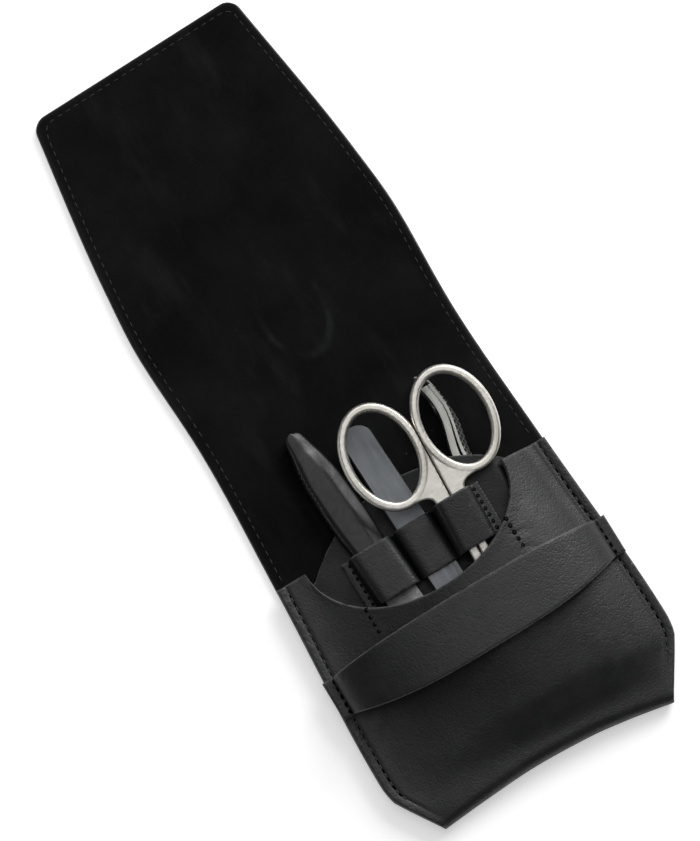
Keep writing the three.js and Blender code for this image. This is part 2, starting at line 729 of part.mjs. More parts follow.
// Scissors. The left half has its ring on the left and its blade, crossed over, on the right.
const scissorsMiddle = JOINT_THICK + JOINT_GAP / 2;
const SECTION_SQUARENESS = 0.8;
const squared = (value) => Math.sign(value) * Math.abs(value) ** SECTION_SQUARENESS;

// A finger ring: a rounded section carried round an ellipse
function fingerRing(side) {
  const middleX = (RING_HALF_X + HOLE_HALF_X) / 2;
  const middleY = (RING_HALF_Y + HOLE_HALF_Y) / 2;
  const halfBand = (RING_HALF_X - HOLE_HALF_X) / 2;
  const around = 2 * ROUND;
  const section = ROUND / 2;
  const points = [];
  const triangles = [];
  for (let i = 0; i < around; i += 1) {
    const turn = (2 * Math.PI * i) / around;
    const outX = Math.cos(turn) / middleX;
    const outY = Math.sin(turn) / middleY;
    const size = Math.hypot(outX, outY);
    for (let k = 0; k < section; k += 1) {
      const angle = (2 * Math.PI * k) / section;
      const out = halfBand * squared(Math.cos(angle));
      points.push([
        side * RING_CENTRE_X + middleX * Math.cos(turn) + (out * outX) / size,
        RING_CENTRE_Y + middleY * Math.sin(turn) + (out * outY) / size,
        scissorsMiddle + (RING_THICK / 2) * squared(Math.sin(angle)),
      ]);
      const next = ((i + 1) % around) * section;
      const a = i * section + k;
      const b = i * section + ((k + 1) % section);
      triangles.push([a, b, next + ((k + 1) % section)]);
      triangles.push([a, next + ((k + 1) % section), next + k]);
    }
  }
  return body(points, triangles);
}

// The web between a ring and the middle line, and the shank that runs down from it
function webAndShank(side) {
  const low = scissorsMiddle - WEB_THICK / 2;
  const inner = side * (HALVES_GAP / 2);
  const ringBottom = RING_CENTRE_Y - RING_HALF_Y;
  const shape = new THREE.Shape();
  shape.moveTo(inner, JOINT_RADIUS * 0.5);
  shape.lineTo(side * SHANK_WAIST, JOINT_RADIUS * 0.5);
  shape.lineTo(side * SHANK_WAIST, SHANK_WAIST_Y);
  shape.quadraticCurveTo(
    side * SHANK_WAIST, mix(SHANK_WAIST_Y, SHANK_TOP, 0.5), side * SHANK_HALF, SHANK_TOP,
  );
  shape.quadraticCurveTo(
    side * SHANK_HALF, ringBottom + WEB_ROUND,
    side * mix(SHANK_HALF, RING_CENTRE_X, 0.75), ringBottom + WEB_ROUND,
  );
  shape.lineTo(side * RING_CENTRE_X, RING_CENTRE_Y);
  shape.lineTo(inner, RING_CENTRE_Y);
  const hole = ellipse(
    side * RING_CENTRE_X, RING_CENTRE_Y,
    mix(HOLE_HALF_X, RING_HALF_X, 0.4), mix(HOLE_HALF_Y, RING_HALF_Y, 0.4),
  );
  return cut(
    extrude(shape, low, WEB_THICK, WEB_ROUND),
    extrude(hole, low - OVERRUN, WEB_THICK + 2 * OVERRUN),
  );
}

// A block given with its sides in any order is turned so that its faces point out
function orient(geometry) {
  const position = geometry.attributes.position;
  const points = Array.from({ length: position.count }, (_, i) => [
    position.getX(i), position.getY(i), position.getZ(i),
  ]);
  const index = Array.from(geometry.index.array);
  const triangles = [];
  for (let i = 0; i < index.length; i += 3) triangles.push([index[i], index[i + 1], index[i + 2]]);
  return body(points, triangles);
}

function scissorsHalf(side) {
  const isLower = side < 0;
  const jointLow = isLower ? 0 : JOINT_THICK + JOINT_GAP;
  const otherLow = isLower ? JOINT_THICK : -OVERRUN;
  const otherHigh = isLower ? 2 * JOINT_THICK + JOINT_GAP + OVERRUN : JOINT_THICK + JOINT_GAP;
  const clearance = upright(0, 0, otherLow, otherHigh - otherLow, JOINT_RADIUS + SEAT);
  const disc = upright(0, 0, jointLow, JOINT_THICK, JOINT_RADIUS);
  const neck = block(
    side * (HALVES_GAP / 2), side * SHANK_WAIST, 0, JOINT_RADIUS + OVERRUN,
    jointLow, jointLow + JOINT_THICK,
  );
  const shear = new THREE.Shape();
  shear.moveTo(side * SHEAR_EDGE, 0);
  shear.lineTo(side * SHEAR_EDGE, -JOINT_RADIUS);
  shear.lineTo(-side * SHEAR_TIP, -SHEAR_LENGTH);
  shear.quadraticCurveTo(
    -side * SHEAR_BACK * 0.8, -SHEAR_LENGTH * 0.72, -side * SHEAR_BACK, -JOINT_RADIUS,
  );
  shear.lineTo(-side * SHEAR_BACK, 0);
  const bore = upright(
    0, 0, -OVERRUN, 2 * JOINT_THICK + 2 * OVERRUN, SCREW_RADIUS + SCREW_RUNNING,
  );
  const midline = side * (HALVES_GAP / 2);
  const beyond = -side * RING_HALF_X;
  const otherSide = block(
    Math.min(midline, beyond), Math.max(midline, beyond), JOINT_RADIUS, RING_CENTRE_Y + RING_HALF_Y,
    -OVERRUN, 2 * JOINT_THICK + OVERRUN,
  );
  const handle = cut(join(webAndShank(side), fingerRing(side)), clearance, otherSide);
  const blade = extrude(shear, jointLow, JOINT_THICK);
  return cut(join(handle, disc, orient(neck), blade), bore);
}

function scissorsScrew() {
  const top = 2 * JOINT_THICK + JOINT_GAP + SCREW_RUNNING;
  const shaft = upright(0, 0, 0, top + SCREW_HEAD_THICK / 2, SCREW_RADIUS);
  const head = upright(0, 0, top, SCREW_HEAD_THICK, SCREW_HEAD_RADIUS);
  const slot = block(
    -SCREW_HEAD_RADIUS - OVERRUN, SCREW_HEAD_RADIUS + OVERRUN,
    -SCREW_SLOT_WIDTH / 2, SCREW_SLOT_WIDTH / 2,
    top + SCREW_HEAD_THICK - SCREW_SLOT_DEPTH, top + SCREW_HEAD_THICK + OVERRUN,
  );
  return cut(join(shaft, head), slot);
}

// Nail clipper. Its origin is the rear end of the two leaves, its Y runs back from the jaws,
// and its lever lies on the +X side. All its pieces follow the same bowed middle line.
const bowTrough = CLIPPER_BOW_Y - CLIPPER_BOW_HALF_WAVE;
const bowReturn = bowTrough - 0.8 * CLIPPER_BOW_HALF_WAVE;

function clipperLine(y) {
  if (y > bowTrough) {
    return CLIPPER_BOW * Math.cos(((y - CLIPPER_BOW_Y) / CLIPPER_BOW_HALF_WAVE) * Math.PI);
  }
  return -CLIPPER_BOW * smooth((y - bowReturn) / (bowTrough - bowReturn));
}

const lipStart = -CLIPPER_LENGTH + JAW_LIP;

function leafGap(y) {
  const parted = clamp01((LEAF_PARTING - y) / (LEAF_PARTING - POST_Y));
  const beyond = Math.max(0, POST_Y - y) * (1.2 * JAW_SPREAD) / (LEAF_PARTING - POST_Y);
  const open = LEAF_GAP / 2 + (JAW_SPREAD - LEAF_GAP / 2) * parted ** 1.2 + beyond;
  if (y >= lipStart) return open;
  return mix(open, JAW_OPENING / 2, smooth((lipStart - y) / JAW_LIP));
}

const LEAF_STEP_SHARES = [
  ...spread(14).map((share) => 0.56 * share), 0.62, 0.68, 0.76, 0.84, 0.91, 0.94, 0.96, 0.98, 1,
];

function leafPlate(facing) {
  const ys = LEAF_STEP_SHARES.map((share) => -share * CLIPPER_LENGTH);
  const inner = ys.map((y) => [clipperLine(y) + facing * leafGap(y), y]);
  const outer = ys.map((y) => {
    const thin = y < lipStart ? mix(LEAF_THICK, LEAF_THICK / 3, (lipStart - y) / JAW_LIP) : LEAF_THICK;
    return [clipperLine(y) + facing * (leafGap(y) + thin), y];
  });
  return extrude(polygon([...inner, ...outer.reverse()]), 0, CLIPPER_WIDTH);
}

const clipperMiddle = CLIPPER_WIDTH / 2;
const leafHole = (y, radius) => crossBar(
  -CLIPPER_WIDTH, CLIPPER_WIDTH, y, clipperMiddle, radius + PIN_RUNNING,
);
const clipperLeaf = (facing) => cut(
  leafPlate(facing), leafHole(RIVET_Y, RIVET_RADIUS), leafHole(POST_Y, POST_RADIUS + SEAT),
);

function rearRivet() {
  const line = clipperLine(RIVET_Y);
  const out = leafGap(RIVET_Y) + LEAF_THICK;
  const start = line - out - SEAT - RIVET_HEAD_THICK;
  const finish = line + out - PIN_RUNNING;
  return join(
    crossBar(start, finish, RIVET_Y, clipperMiddle, RIVET_RADIUS),
    crossBar(start, start + RIVET_HEAD_THICK, RIVET_Y, clipperMiddle, RIVET_HEAD_RADIUS),
  );
}

const pinLocalX = pinX - CLIPPER_X;

function clipperPost() {
  const line = clipperLine(POST_Y);
  const headStart = line - leafGap(POST_Y) - LEAF_THICK - SEAT - POST_HEAD_THICK + PIN_RUNNING;
  const shaft = crossBar(headStart, pinLocalX, POST_Y, clipperMiddle, POST_RADIUS);
  const head = crossBar(
    headStart, headStart + POST_HEAD_THICK - PIN_RUNNING, POST_Y, clipperMiddle, POST_HEAD_RADIUS,
  );
  const knuckle = upright(
    pinLocalX, POST_Y, clipperMiddle - POST_NECK_WIDTH / 2, POST_NECK_WIDTH, EAR_RADIUS,
  );
  return cut(
    join(shaft, head, knuckle),
    upright(pinLocalX, POST_Y, -OVERRUN, CLIPPER_WIDTH + 2 * OVERRUN, PIN_RADIUS + PIN_RUNNING),
  );
}

const earInset = (CLIPPER_WIDTH - POST_NECK_WIDTH) / 2 - SEAT - EAR_THICK;
const leverPin = () => upright(
  pinLocalX, POST_Y, earInset, CLIPPER_WIDTH - 2 * earInset, PIN_RADIUS,
);

// The lever's own line: clear of the leaf, out to the pivot at its lower end, curled in at its tip
function leverLine(y) {
  const along = clipperLine(Math.min(y, 0)) + leafGap(Math.min(y, 0)) + LEAF_THICK + SEAT;
  const past = Math.max(0, y) / LEVER_OVERHANG;
  const toPivot = smooth((POST_Y + 3 * EAR_RADIUS - y) / (2 * EAR_RADIUS));
  return mix(along - LEVER_CURL * past * past, pinLocalX - LEVER_THICK / 2, toPivot);
}

function clipperLever() {
  const start = POST_Y + EAR_RADIUS;
  const ys = spread(26).map((share) => mix(start, LEVER_OVERHANG, share));
  const near = ys.map((y) => [leverLine(y), y]);
  const far = ys.map((y) => [leverLine(y) + LEVER_THICK, y]);
  const strip = extrude(polygon([...near, ...far.reverse()]), 0, CLIPPER_WIDTH);
  const waist = (CLIPPER_WIDTH - LEVER_WAIST) / 2;
  const earRoot = POST_Y + EAR_RADIUS + SEAT;
  const taperTop = mix(POST_Y, 0, 0.62);
  const side = (sign) => {
    const z = (inset) => clipperMiddle + sign * (CLIPPER_WIDTH / 2 - inset);
    const outside = clipperMiddle + sign * (CLIPPER_WIDTH / 2 + OVERRUN);
    return [
      [outside, POST_Y - OVERRUN], [z(earInset), POST_Y - OVERRUN], [z(earInset), earRoot],
      [z(waist), mix(earRoot, taperTop, 0.3)], [z(waist), mix(earRoot, taperTop, 0.8)],
      [z(0), taperTop], [outside, taperTop],
    ];
  };
  const trim = (sign) => {
    const prism = new THREE.ExtrudeGeometry(polygon(side(sign)), {
      depth: 4 * CLIPPER_WIDTH, bevelEnabled: false,
    });
    prism.rotateY(-Math.PI / 2);
    prism.translate(2 * CLIPPER_WIDTH, 0, 0);
    return prism;
  };
  const ear = (bottom) => join(
    upright(pinLocalX, POST_Y, bottom, EAR_THICK, EAR_RADIUS),
    block(
      pinLocalX - LEVER_THICK / 2, pinLocalX + LEVER_THICK / 2,
      POST_Y, POST_Y + EAR_RADIUS + OVERRUN, bottom, bottom + EAR_THICK,
    ),
  );
  const fork = block(
    pinLocalX - CLIPPER_WIDTH, pinLocalX + CLIPPER_WIDTH, POST_Y - OVERRUN,
    POST_Y + EAR_RADIUS + SEAT, earInset + EAR_THICK, CLIPPER_WIDTH - earInset - EAR_THICK,
  );
  const forked = cut(strip, trim(1), trim(-1), fork);
  return cut(
    join(forked, ear(earInset), ear(CLIPPER_WIDTH - earInset - EAR_THICK)),
    upright(pinLocalX, POST_Y, -OVERRUN, CLIPPER_WIDTH + 2 * OVERRUN, PIN_RADIUS + PIN_RUNNING),
  );
}

// Colours and finishes
const finish = (color, roughness, metalness) => ({ color, roughness, metalness });
const LEATHER = finish(0x26272a, 0.55, 0);
const LINING = finish(0x0e0e0f, 0.95, 0);
const BLACK_PLASTIC = finish(0x1d1e21, 0.35, 0);
const FILE_STEEL = finish(0x77797c, 0.6, 0.7);
const SATIN_STEEL = finish(0x8b9094, 0.42, 0.9);
const NICKEL = finish(0xc2bcb0, 0.35, 0.95);
const CLIPPER_STEEL = finish(0xbdbdb8, 0.35, 0.95);

function named(name, geometry, look) {
  const mesh = new THREE.Mesh(geometry, new THREE.MeshStandardMaterial(look));
  mesh.name = name;
  return mesh;
}

// A tool's own frame, with its Y leaning from the case's Y and tilted up from the case's plane
function toolFrame(name, x, y, z, lean, tilt, meshes) {
  const frame = new THREE.Group();
  frame.name = name;
  frame.position.set(x, y, z);
  frame.rotation.set(degrees(tilt), 0, degrees(lean), 'ZXY');
  frame.add(...meshes);
  return frame;
}

const caseGroup = new THREE.Group();
caseGroup.position.set(0, -CASE_LENGTH / 2, 0);
caseGroup.add(
  named('back_leather', backLeather(), LEATHER),
  named('back_lining', backLining(), LINING),
  named('pocket_front', pocketFront(), LEATHER),
  named('holder_panel', holderPanel(), LEATHER),
  named('loop_strip', loopStrip(), LEATHER),
  named('strap', strap(), LEATHER),
  named('fold_leather', foldLeather(), LEATHER),
  named('fold_lining', foldLining(), LINING),
  named('flap_leather', flapLeather(), LEATHER),
  named('flap_lining', flapLining(), LINING),
  toolFrame('file_frame', FILE_X, FILE_Y, toolLow, FILE_LEAN, 0, [
    named('file_handle', fileHandle(), BLACK_PLASTIC),
    named('file_blade', fileBlade(), FILE_STEEL),
  ]),
  toolFrame('tweezers_frame', TWEEZERS_X, TWEEZERS_Y, toolLow, TWEEZERS_LEAN, 0, [
    named('tweezers_back_arm', loft(armRings(-1)), SATIN_STEEL),
    named('tweezers_front_arm', loft(armRings(1)), SATIN_STEEL),
  ]),
  toolFrame(
    'scissors_frame', SCISSORS_X, SCISSORS_Y, scissorsLow(SCISSORS_Y),
    -SCISSORS_LEAN, SCISSORS_TILT, [
      named('scissors_left_half', scissorsHalf(-1), NICKEL),
      named('scissors_right_half', scissorsHalf(1), NICKEL),
      named('scissors_screw', scissorsScrew(), NICKEL),
    ],
  ),
  toolFrame('clipper_frame', CLIPPER_X, CLIPPER_Y, panelLow, 0, 0, [
    named('clipper_lower_leaf', clipperLeaf(-1), CLIPPER_STEEL),
    named('clipper_upper_leaf', clipperLeaf(1), CLIPPER_STEEL),
    named('clipper_rivet', rearRivet(), CLIPPER_STEEL),
    named('clipper_post', clipperPost(), CLIPPER_STEEL),
    named('clipper_pin', leverPin(), CLIPPER_STEEL),
    named('clipper_lever', clipperLever(), CLIPPER_STEEL),
  ]),
);

const manicureCase = new THREE.Group();
manicureCase.name = 'manicure_case';
manicureCase.add(caseGroup);

export default manicureCase;
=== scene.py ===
import math

import bmesh
import bpy
import numpy as np
from mathutils import Matrix, Vector, noise


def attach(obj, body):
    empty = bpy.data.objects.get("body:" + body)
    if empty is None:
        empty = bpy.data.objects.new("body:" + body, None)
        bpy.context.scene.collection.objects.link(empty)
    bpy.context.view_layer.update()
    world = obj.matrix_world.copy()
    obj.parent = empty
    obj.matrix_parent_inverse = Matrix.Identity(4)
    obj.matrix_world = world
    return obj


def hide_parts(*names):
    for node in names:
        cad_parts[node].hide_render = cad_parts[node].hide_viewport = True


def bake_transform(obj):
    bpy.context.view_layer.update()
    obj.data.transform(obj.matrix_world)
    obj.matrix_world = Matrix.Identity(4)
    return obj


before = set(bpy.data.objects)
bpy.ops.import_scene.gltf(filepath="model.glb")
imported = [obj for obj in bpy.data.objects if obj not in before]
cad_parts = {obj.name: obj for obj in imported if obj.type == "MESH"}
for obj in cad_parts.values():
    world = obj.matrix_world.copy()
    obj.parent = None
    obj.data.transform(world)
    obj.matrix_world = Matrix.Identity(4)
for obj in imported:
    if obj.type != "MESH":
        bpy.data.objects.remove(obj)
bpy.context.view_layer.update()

MM = 0.001
MIDDLE_Y = 103.7


# -------- small helpers
def mix(a, b, share):
    return a + (b - a) * share


def clamp01(value):
    return min(1.0, max(0.0, value))


def smooth(value):
    t = clamp01(value)
    return t * t * (3 - 2 * t)


def eased(values):
    """The same as smooth, for arrays."""
    t = np.clip(values, 0, 1)
    return t * t * (3 - 2 * t)


def spread(count):
    return [i / count for i in range(count + 1)]


def curve_through(stations):
    """A smooth curve through stations (place, value) that never overshoots them."""
    slopes = [(b[1] - a[1]) / (b[0] - a[0]) for a, b in zip(stations, stations[1:])]
    tangents = [slopes[0]]
    for before, after in zip(slopes, slopes[1:]):
        flat = before * after <= 0
        tangents.append(0 if flat else 2 * before * after / (before + after))
    tangents.append(slopes[-1])

    def value(place):
        i = 0
        while i < len(slopes) - 1 and place > stations[i + 1][0]:
            i += 1
        (x0, y0), (x1, y1) = stations[i:i + 2]
        width = x1 - x0
        t = clamp01((place - x0) / width)
        t2, t3 = t * t, t * t * t
        return (
            y0 * (2 * t3 - 3 * t2 + 1) + tangents[i] * width * (t3 - 2 * t2 + t)
            + y1 * (3 * t2 - 2 * t3) + tangents[i + 1] * width * (t3 - t2)
        )

    return value


def linked(name, data):
    piece = bpy.data.objects.new(name, data)
    bpy.context.scene.collection.objects.link(piece)
    return piece


def in_metres(points):
    scaled = np.array(points, float).reshape(-1, 3)
    scaled[:, 1] -= MIDDLE_Y
    return scaled * MM


def at(x, y):
    return x * MM, (y - MIDDLE_Y) * MM, 0


def marked(piece, name, values):
    layer = piece.data.attributes.new(name, "FLOAT", "POINT")
    layer.data.foreach_set("value", np.array(values, np.float32).ravel())
    return piece


def circle(count):
    """The cosine and sine of each of a count of evenly spread angles."""
    return [(math.cos(a), math.sin(a)) for a in (2 * math.pi * k / count for k in range(count))]


def mesh_piece(name, points, faces, shade_smooth=True):
    mesh = bpy.data.meshes.new(name)
    mesh.from_pydata([tuple(p) for p in in_metres(points)], [], faces)
    mesh.polygons.foreach_set("use_smooth", [shade_smooth] * len(mesh.polygons))
    return linked(name, mesh)


def tube_faces(rings, size, looped=False):
    """Faces of a tube made of rings of points, looped or closed at both ends."""
    faces, count = [], rings * size
    for j in range(rings if looped else rings - 1):
        for k in range(size):
            a, b = j * size + k, j * size + (k + 1) % size
            faces.append((a, b, (b + size) % count, (a + size) % count))
    if looped:
        return faces
    return faces + [tuple(reversed(range(size))), tuple(range(count - size, count))]


THINNEST = 0.12


def sheet_piece(name, grid, thick, radius, marks=(), rims=None, butted=None):
    """A sheet round its middle surface, thinned by a rounding of this radius at its edges.

    The grid holds rows of (x, y, z, distance to the edge, marks...), and rims the distances
    that set the thickness, where they aren't the grid's. The butted row, 0 or -1, has a
    sharp rim, because another sheet goes on there.
    """
    grid = np.array(grid, float)
    points, edges = grid[..., :3], grid[..., 3]
    away = 1 - np.clip(np.array(edges if rims is None else rims) / radius, 0, 1)
    taper = np.maximum(THINNEST, np.sqrt(1 - away * away))
    normals = np.cross(np.gradient(points, axis=1), np.gradient(points, axis=0))
    normals /= np.linalg.norm(normals, axis=2, keepdims=True)
    half = normals * (thick / 2 * taper[..., None])
    top = np.arange(edges.size).reshape(edges.shape)
    low = top + edges.size
    faces = []
    for corners in [
        (top[:-1, :-1], top[:-1, 1:], top[1:, 1:], top[1:, :-1]),
        (low[:-1, :-1], low[1:, :-1], low[1:, 1:], low[:-1, 1:]),
        (low[0, :-1], low[0, 1:], top[0, 1:], top[0, :-1]),
        (top[-1, :-1], top[-1, 1:], low[-1, 1:], low[-1, :-1]),
        (top[:-1, 0], top[1:, 0], low[1:, 0], low[:-1, 0]),
        (low[:-1, -1], low[1:, -1], top[1:, -1], top[:-1, -1]),
    ]:
        faces += np.stack(corners, axis=-1).reshape(-1, 4).tolist()
    piece = mesh_piece(name, np.stack([points + half, points - half]), faces)
    for i, mark in enumerate(("edge", *marks)):
        marked(piece, mark, np.tile(grid[..., 3 + i].ravel(), 2))
    if butted is not None:
        rim = {*top[butted].tolist(), *low[butted].tolist()}
        for edge in piece.data.edges:
            edge.use_edge_sharp = rim.issuperset(edge.vertices)
    return piece


def by_rows(columns):
    return np.array(columns).swapaxes(0, 1)


def up_to(start, top, count, gap, steps):
    """Heights from start to the edge at top, with the last steps given."""
    return [mix(start, top - gap, share) for share in spread(count)] + [top - s for s in steps]


EDGE_STEPS = [0, 0.1, 0.25, 0.45, 0.8, 1.4]

# -------- camera
CAMERA_AZIMUTH = math.radians(-31.1)
CAMERA_ELEVATION = math.radians(81)
CAMERA_DISTANCE = 0.9
CAMERA_TARGET = Vector((-0.85, -4.09, 5)) * MM
CAMERA_LENS = 155.9
CAMERA_SENSOR = 36

camera = linked("camera", bpy.data.cameras.new("camera"))
camera.data.lens = CAMERA_LENS
camera.data.sensor_width = CAMERA_SENSOR
camera.data.clip_end = 20
camera_back = Vector((
    math.sin(CAMERA_AZIMUTH) * math.cos(CAMERA_ELEVATION),
    -math.cos(CAMERA_AZIMUTH) * math.cos(CAMERA_ELEVATION),
    math.sin(CAMERA_ELEVATION),
))
camera.location = CAMERA_TARGET + camera_back * CAMERA_DISTANCE
camera.rotation_euler = camera_back.to_track_quat("Z", "Y").to_euler()
bpy.context.scene.camera = camera

# -------- the case's own shape
CASE_LENGTH = 207.4
TIP_HALF = 31.5
WIDE_HALF = 40.95
WIDE_HEIGHT = 19
HORN_HALF = 38.25
HORN_HEIGHT = 71.5
LEFT_HORN_RISE = 1.2
NECK_HALF = 36.5
NECK_HEIGHT = 112
BROW_HALF = 37.5
BROW_HEIGHT = 141
END_HALF = 29.9
END_CORNER = 3.6
END_SLOPE = 0.038
CREASE_HEIGHT = 114.5
FOLD_WIDTH = 13.5
FOLD_END = CREASE_HEIGHT + FOLD_WIDTH
SHELL_TOP = 121.0
HIDE = 1.2
SUEDE = 0.7
PANEL = 0.9
STRIP = 0.9
STRAP = 1.2
SEAT = 0.3
HIDE_ROUND = 0.5
SUEDE_ROUND = 0.3
LINING_INSET = 0.4
SCOOP_CENTRE = -2.3
SCOOP_HALF = 27.7
SCOOP_DEPTH = 19.4
SEAM = 4.2
FOLD_SWELL = 1.6
FOLD_RISE = 12
BULGE_CENTRE = 10.8
LEFT_SWELL_POWER = 1.9
RIGHT_SWELL_POWER = 0.9
CLIPPER_WIDTH = 6
LOOP_BOTTOM = 56.3
LOOP_TOP = 70

LINING_TOP = HIDE + SUEDE
LINING_MIDDLE = HIDE + SUEDE / 2
PANEL_LOW = LINING_TOP + SEAT
PANEL_TOP = PANEL_LOW + PANEL
TOOL_LOW = PANEL_TOP + SEAT
TOOL_THICK = 4
HUMP_RISE = CLIPPER_WIDTH + SEAT
HUMP_TOP = PANEL_TOP + HUMP_RISE
SEAM_LOW = PANEL_TOP + SEAT
SEAM_TOP = SEAM_LOW + HIDE
FOLD_CLEAR = 4.6
LINING_START = (SEAM_TOP + FOLD_SWELL) / 2 + FOLD_CLEAR

# Each tool's axis: x and y of a point on it, and its lean from the case's Y in degrees
FILE_AXIS = (-13.1, 67.3, 3.45)
TWEEZERS_AXIS = (-1.95, 97.8, 1.7)
SCISSORS_AXIS = (8.75, 42, -2.65)
SCISSORS_TILT = 6
SCISSORS_CROWN = 2.8
HANDLE_HALF = 5.1
ARM_HALF = 4.2
LEAF_THICK = 0.85


def scissors_low(y):
    """Height of the tilted scissors' underside above the back's outer face."""
    return HUMP_TOP + SEAT - (LOOP_TOP - y) * math.tan(math.radians(SCISSORS_TILT))


def crown_low(y):
    return scissors_low(y) + SCISSORS_CROWN + SEAT


BULGE_RISE = crown_low(LOOP_BOTTOM) + STRIP + 2 * SEAT - SEAM_LOW

edge_curve = curve_through([
    (0, TIP_HALF),
    (WIDE_HEIGHT * 0.3, mix(TIP_HALF, WIDE_HALF, 0.395)),
    (WIDE_HEIGHT * 0.6, mix(TIP_HALF, WIDE_HALF, 0.78)),
    (WIDE_HEIGHT * 0.75, mix(TIP_HALF, WIDE_HALF, 0.94)),
    (WIDE_HEIGHT, WIDE_HALF),
    (HORN_HEIGHT, HORN_HALF),
    (NECK_HEIGHT, NECK_HALF),
    (BROW_HEIGHT, BROW_HALF),
    (mix(BROW_HEIGHT, CASE_LENGTH, 0.28), mix(BROW_HALF, END_HALF, 0.17)),
    (CASE_LENGTH, END_HALF),
])
fullness = curve_through([
    (HORN_HEIGHT * up, full)
    for up, full in [(0.04, 0.15), (0.2, 0.62), (0.42, 0.88), (0.6, 1), (1, 1)]
])
# The folded bottom edge, lower at its right end than at its left
bottom_edge = curve_through([
    (-33, 1.6), (-21, 2.5), (-6, 3.2), (9, 2.55), (19, 1.35), (29, -0.2), (33, -0.9),
])


def front_outer(x, y):
    reach = edge_curve(y) - SEAM
    side, power = (
        (-reach, LEFT_SWELL_POWER) if x < BULGE_CENTRE else (reach, RIGHT_SWELL_POWER)
    )
    out = clamp01((x - BULGE_CENTRE) / (side - BULGE_CENTRE))
    return SEAM_TOP + BULGE_RISE * fullness(y) * (1 - out * out) ** power


def horn_top(x):
    return HORN_HEIGHT + LEFT_HORN_RISE * clamp01((SCOOP_CENTRE - x) / SCOOP_HALF)


def scoop_edge(x):
    out = clamp01(abs(x - SCOOP_CENTRE) / SCOOP_HALF)
    return mix(horn_top(x), HORN_HEIGHT - SCOOP_DEPTH, math.sqrt(1 - out * out))


def flap_end(x):
    """The flap's far edge, which slopes up a little towards +X."""
    return CASE_LENGTH + END_SLOPE * x


# -------- leather and suede
STITCH_INSET = 2.4
GROOVE_HALF = 0.55
GROOVE_DEPTH = 0.28
SEAM_STEPS = [1.75, 2.05, 2.4, 2.75, 3.1, 3.6, 4.2]
PUCKER_ROWS = [(-21.7, 50, 58), (18.5, 49.5, 59)]
PUCKER_HALF = 3.2
PUCKER_FADE = 2.5
PUCKER_DEPTH = 0.2
# Each ripple of the pocket's front: height, size and seed
RIPPLES = [(0.34, 16, 3.1), (0.07, 6, 7.7)]
FRONT_ROWS = 44
TURN_ROWS = 12
BACK_ROWS = 60
SHELL_HALF = 39


def seam_groove(x, y):
    """How far the thread draws the leather down beside the case's edge."""
    away = (edge_curve(y) - abs(x) - STITCH_INSET) / GROOVE_HALF
    return GROOVE_DEPTH * math.exp(-away * away)


def pucker(x, y):
    """Where the tabs' stitches gather the pocket's front."""
    total = 0.0
    for row_x, low, high in PUCKER_ROWS:
        across = (x - row_x) / PUCKER_HALF
        beyond = max(0.0, low - y, y - high) / PUCKER_FADE
        total += math.exp(-across * across - beyond * beyond)
    return min(1.0, total)


def front_columns():
    """Columns across the pocket: (share of the half width, mouth height)."""
    left, right = SCOOP_CENTRE - SCOOP_HALF, SCOOP_CENTRE + SCOOP_HALF
    seam_x = HORN_HALF - SEAM
    side = [1 - step / HORN_HALF for step in EDGE_STEPS + SEAM_STEPS]
    start = side + [mix(seam_x, -left, step) / HORN_HALF for step in [0.35, 0.6, 0.85, 0.97]]
    end = [mix(right, seam_x, step) / HORN_HALF for step in [0.03, 0.15, 0.4, 0.65, 1]]
    columns = [(-share, horn_top(left)) for share in start]
    for step in spread(56):
        x = SCOOP_CENTRE + SCOOP_HALF * math.sin((step - 0.5) * math.pi)
        columns.append((x / edge_curve(scoop_edge(x)), scoop_edge(x)))
    return columns + [(share, HORN_HEIGHT) for share in end + side[-2::-1]]


def shell_column(across, mouth):
    """The middle surface down one column: mouth, front, bottom fold, back.

    Each point is (x, y, z, distance to the edge, pucker, seam).
    """
    middle_top = SEAM_TOP + FOLD_SWELL * (1 - across * across) - HIDE / 2
    radius = (middle_top - HIDE / 2) / 2
    turn_y = bottom_edge(across * edge_curve(3)) + HIDE / 2 + radius
    side = (1 - abs(across)) * SHELL_HALF
    seam = 1 - smooth((side - 0.8) / 1.8)
    front = [mouth - step for step in EDGE_STEPS]
    front += [mix(front[-1], turn_y, step ** 0.95) for step in spread(FRONT_ROWS)[1:]]
    column = []
    for y in front:
        x = across * edge_curve(y)
        rise = smooth((y - turn_y) / FOLD_RISE)
        calm = smooth((1 - abs(across)) * 6) * rise * smooth((mouth - y) / 4)
        gathered = pucker(x, y)
        z = mix(middle_top, front_outer(x, y) - HIDE / 2, rise)
        z -= rise * (seam_groove(x, y) + PUCKER_DEPTH * gathered)
        for height, size, seed in RIPPLES:
            z += height * calm * noise.noise(Vector((x / size, y / size, seed)))
        column.append((x, y, z, min(side, mouth - y), gathered, seam))
    turned = [
        (turn_y - radius * math.sin(math.pi * step), radius - radius * math.cos(math.pi * step))
        for step in spread(TURN_ROWS)[-2:0:-1]
    ]
    turned += [(mix(turn_y, SHELL_TOP, step), 0) for step in spread(BACK_ROWS)]
    for y, up in turned:
        column.append((across * edge_curve(y), y, HIDE / 2 + up, side, 0, seam))
    return column


def case_shell():
    grid = by_rows([shell_column(*column) for column in front_columns()])
    return sheet_piece("case_shell", grid, HIDE, HIDE_ROUND, ("pucker", "seam"), butted=-1)


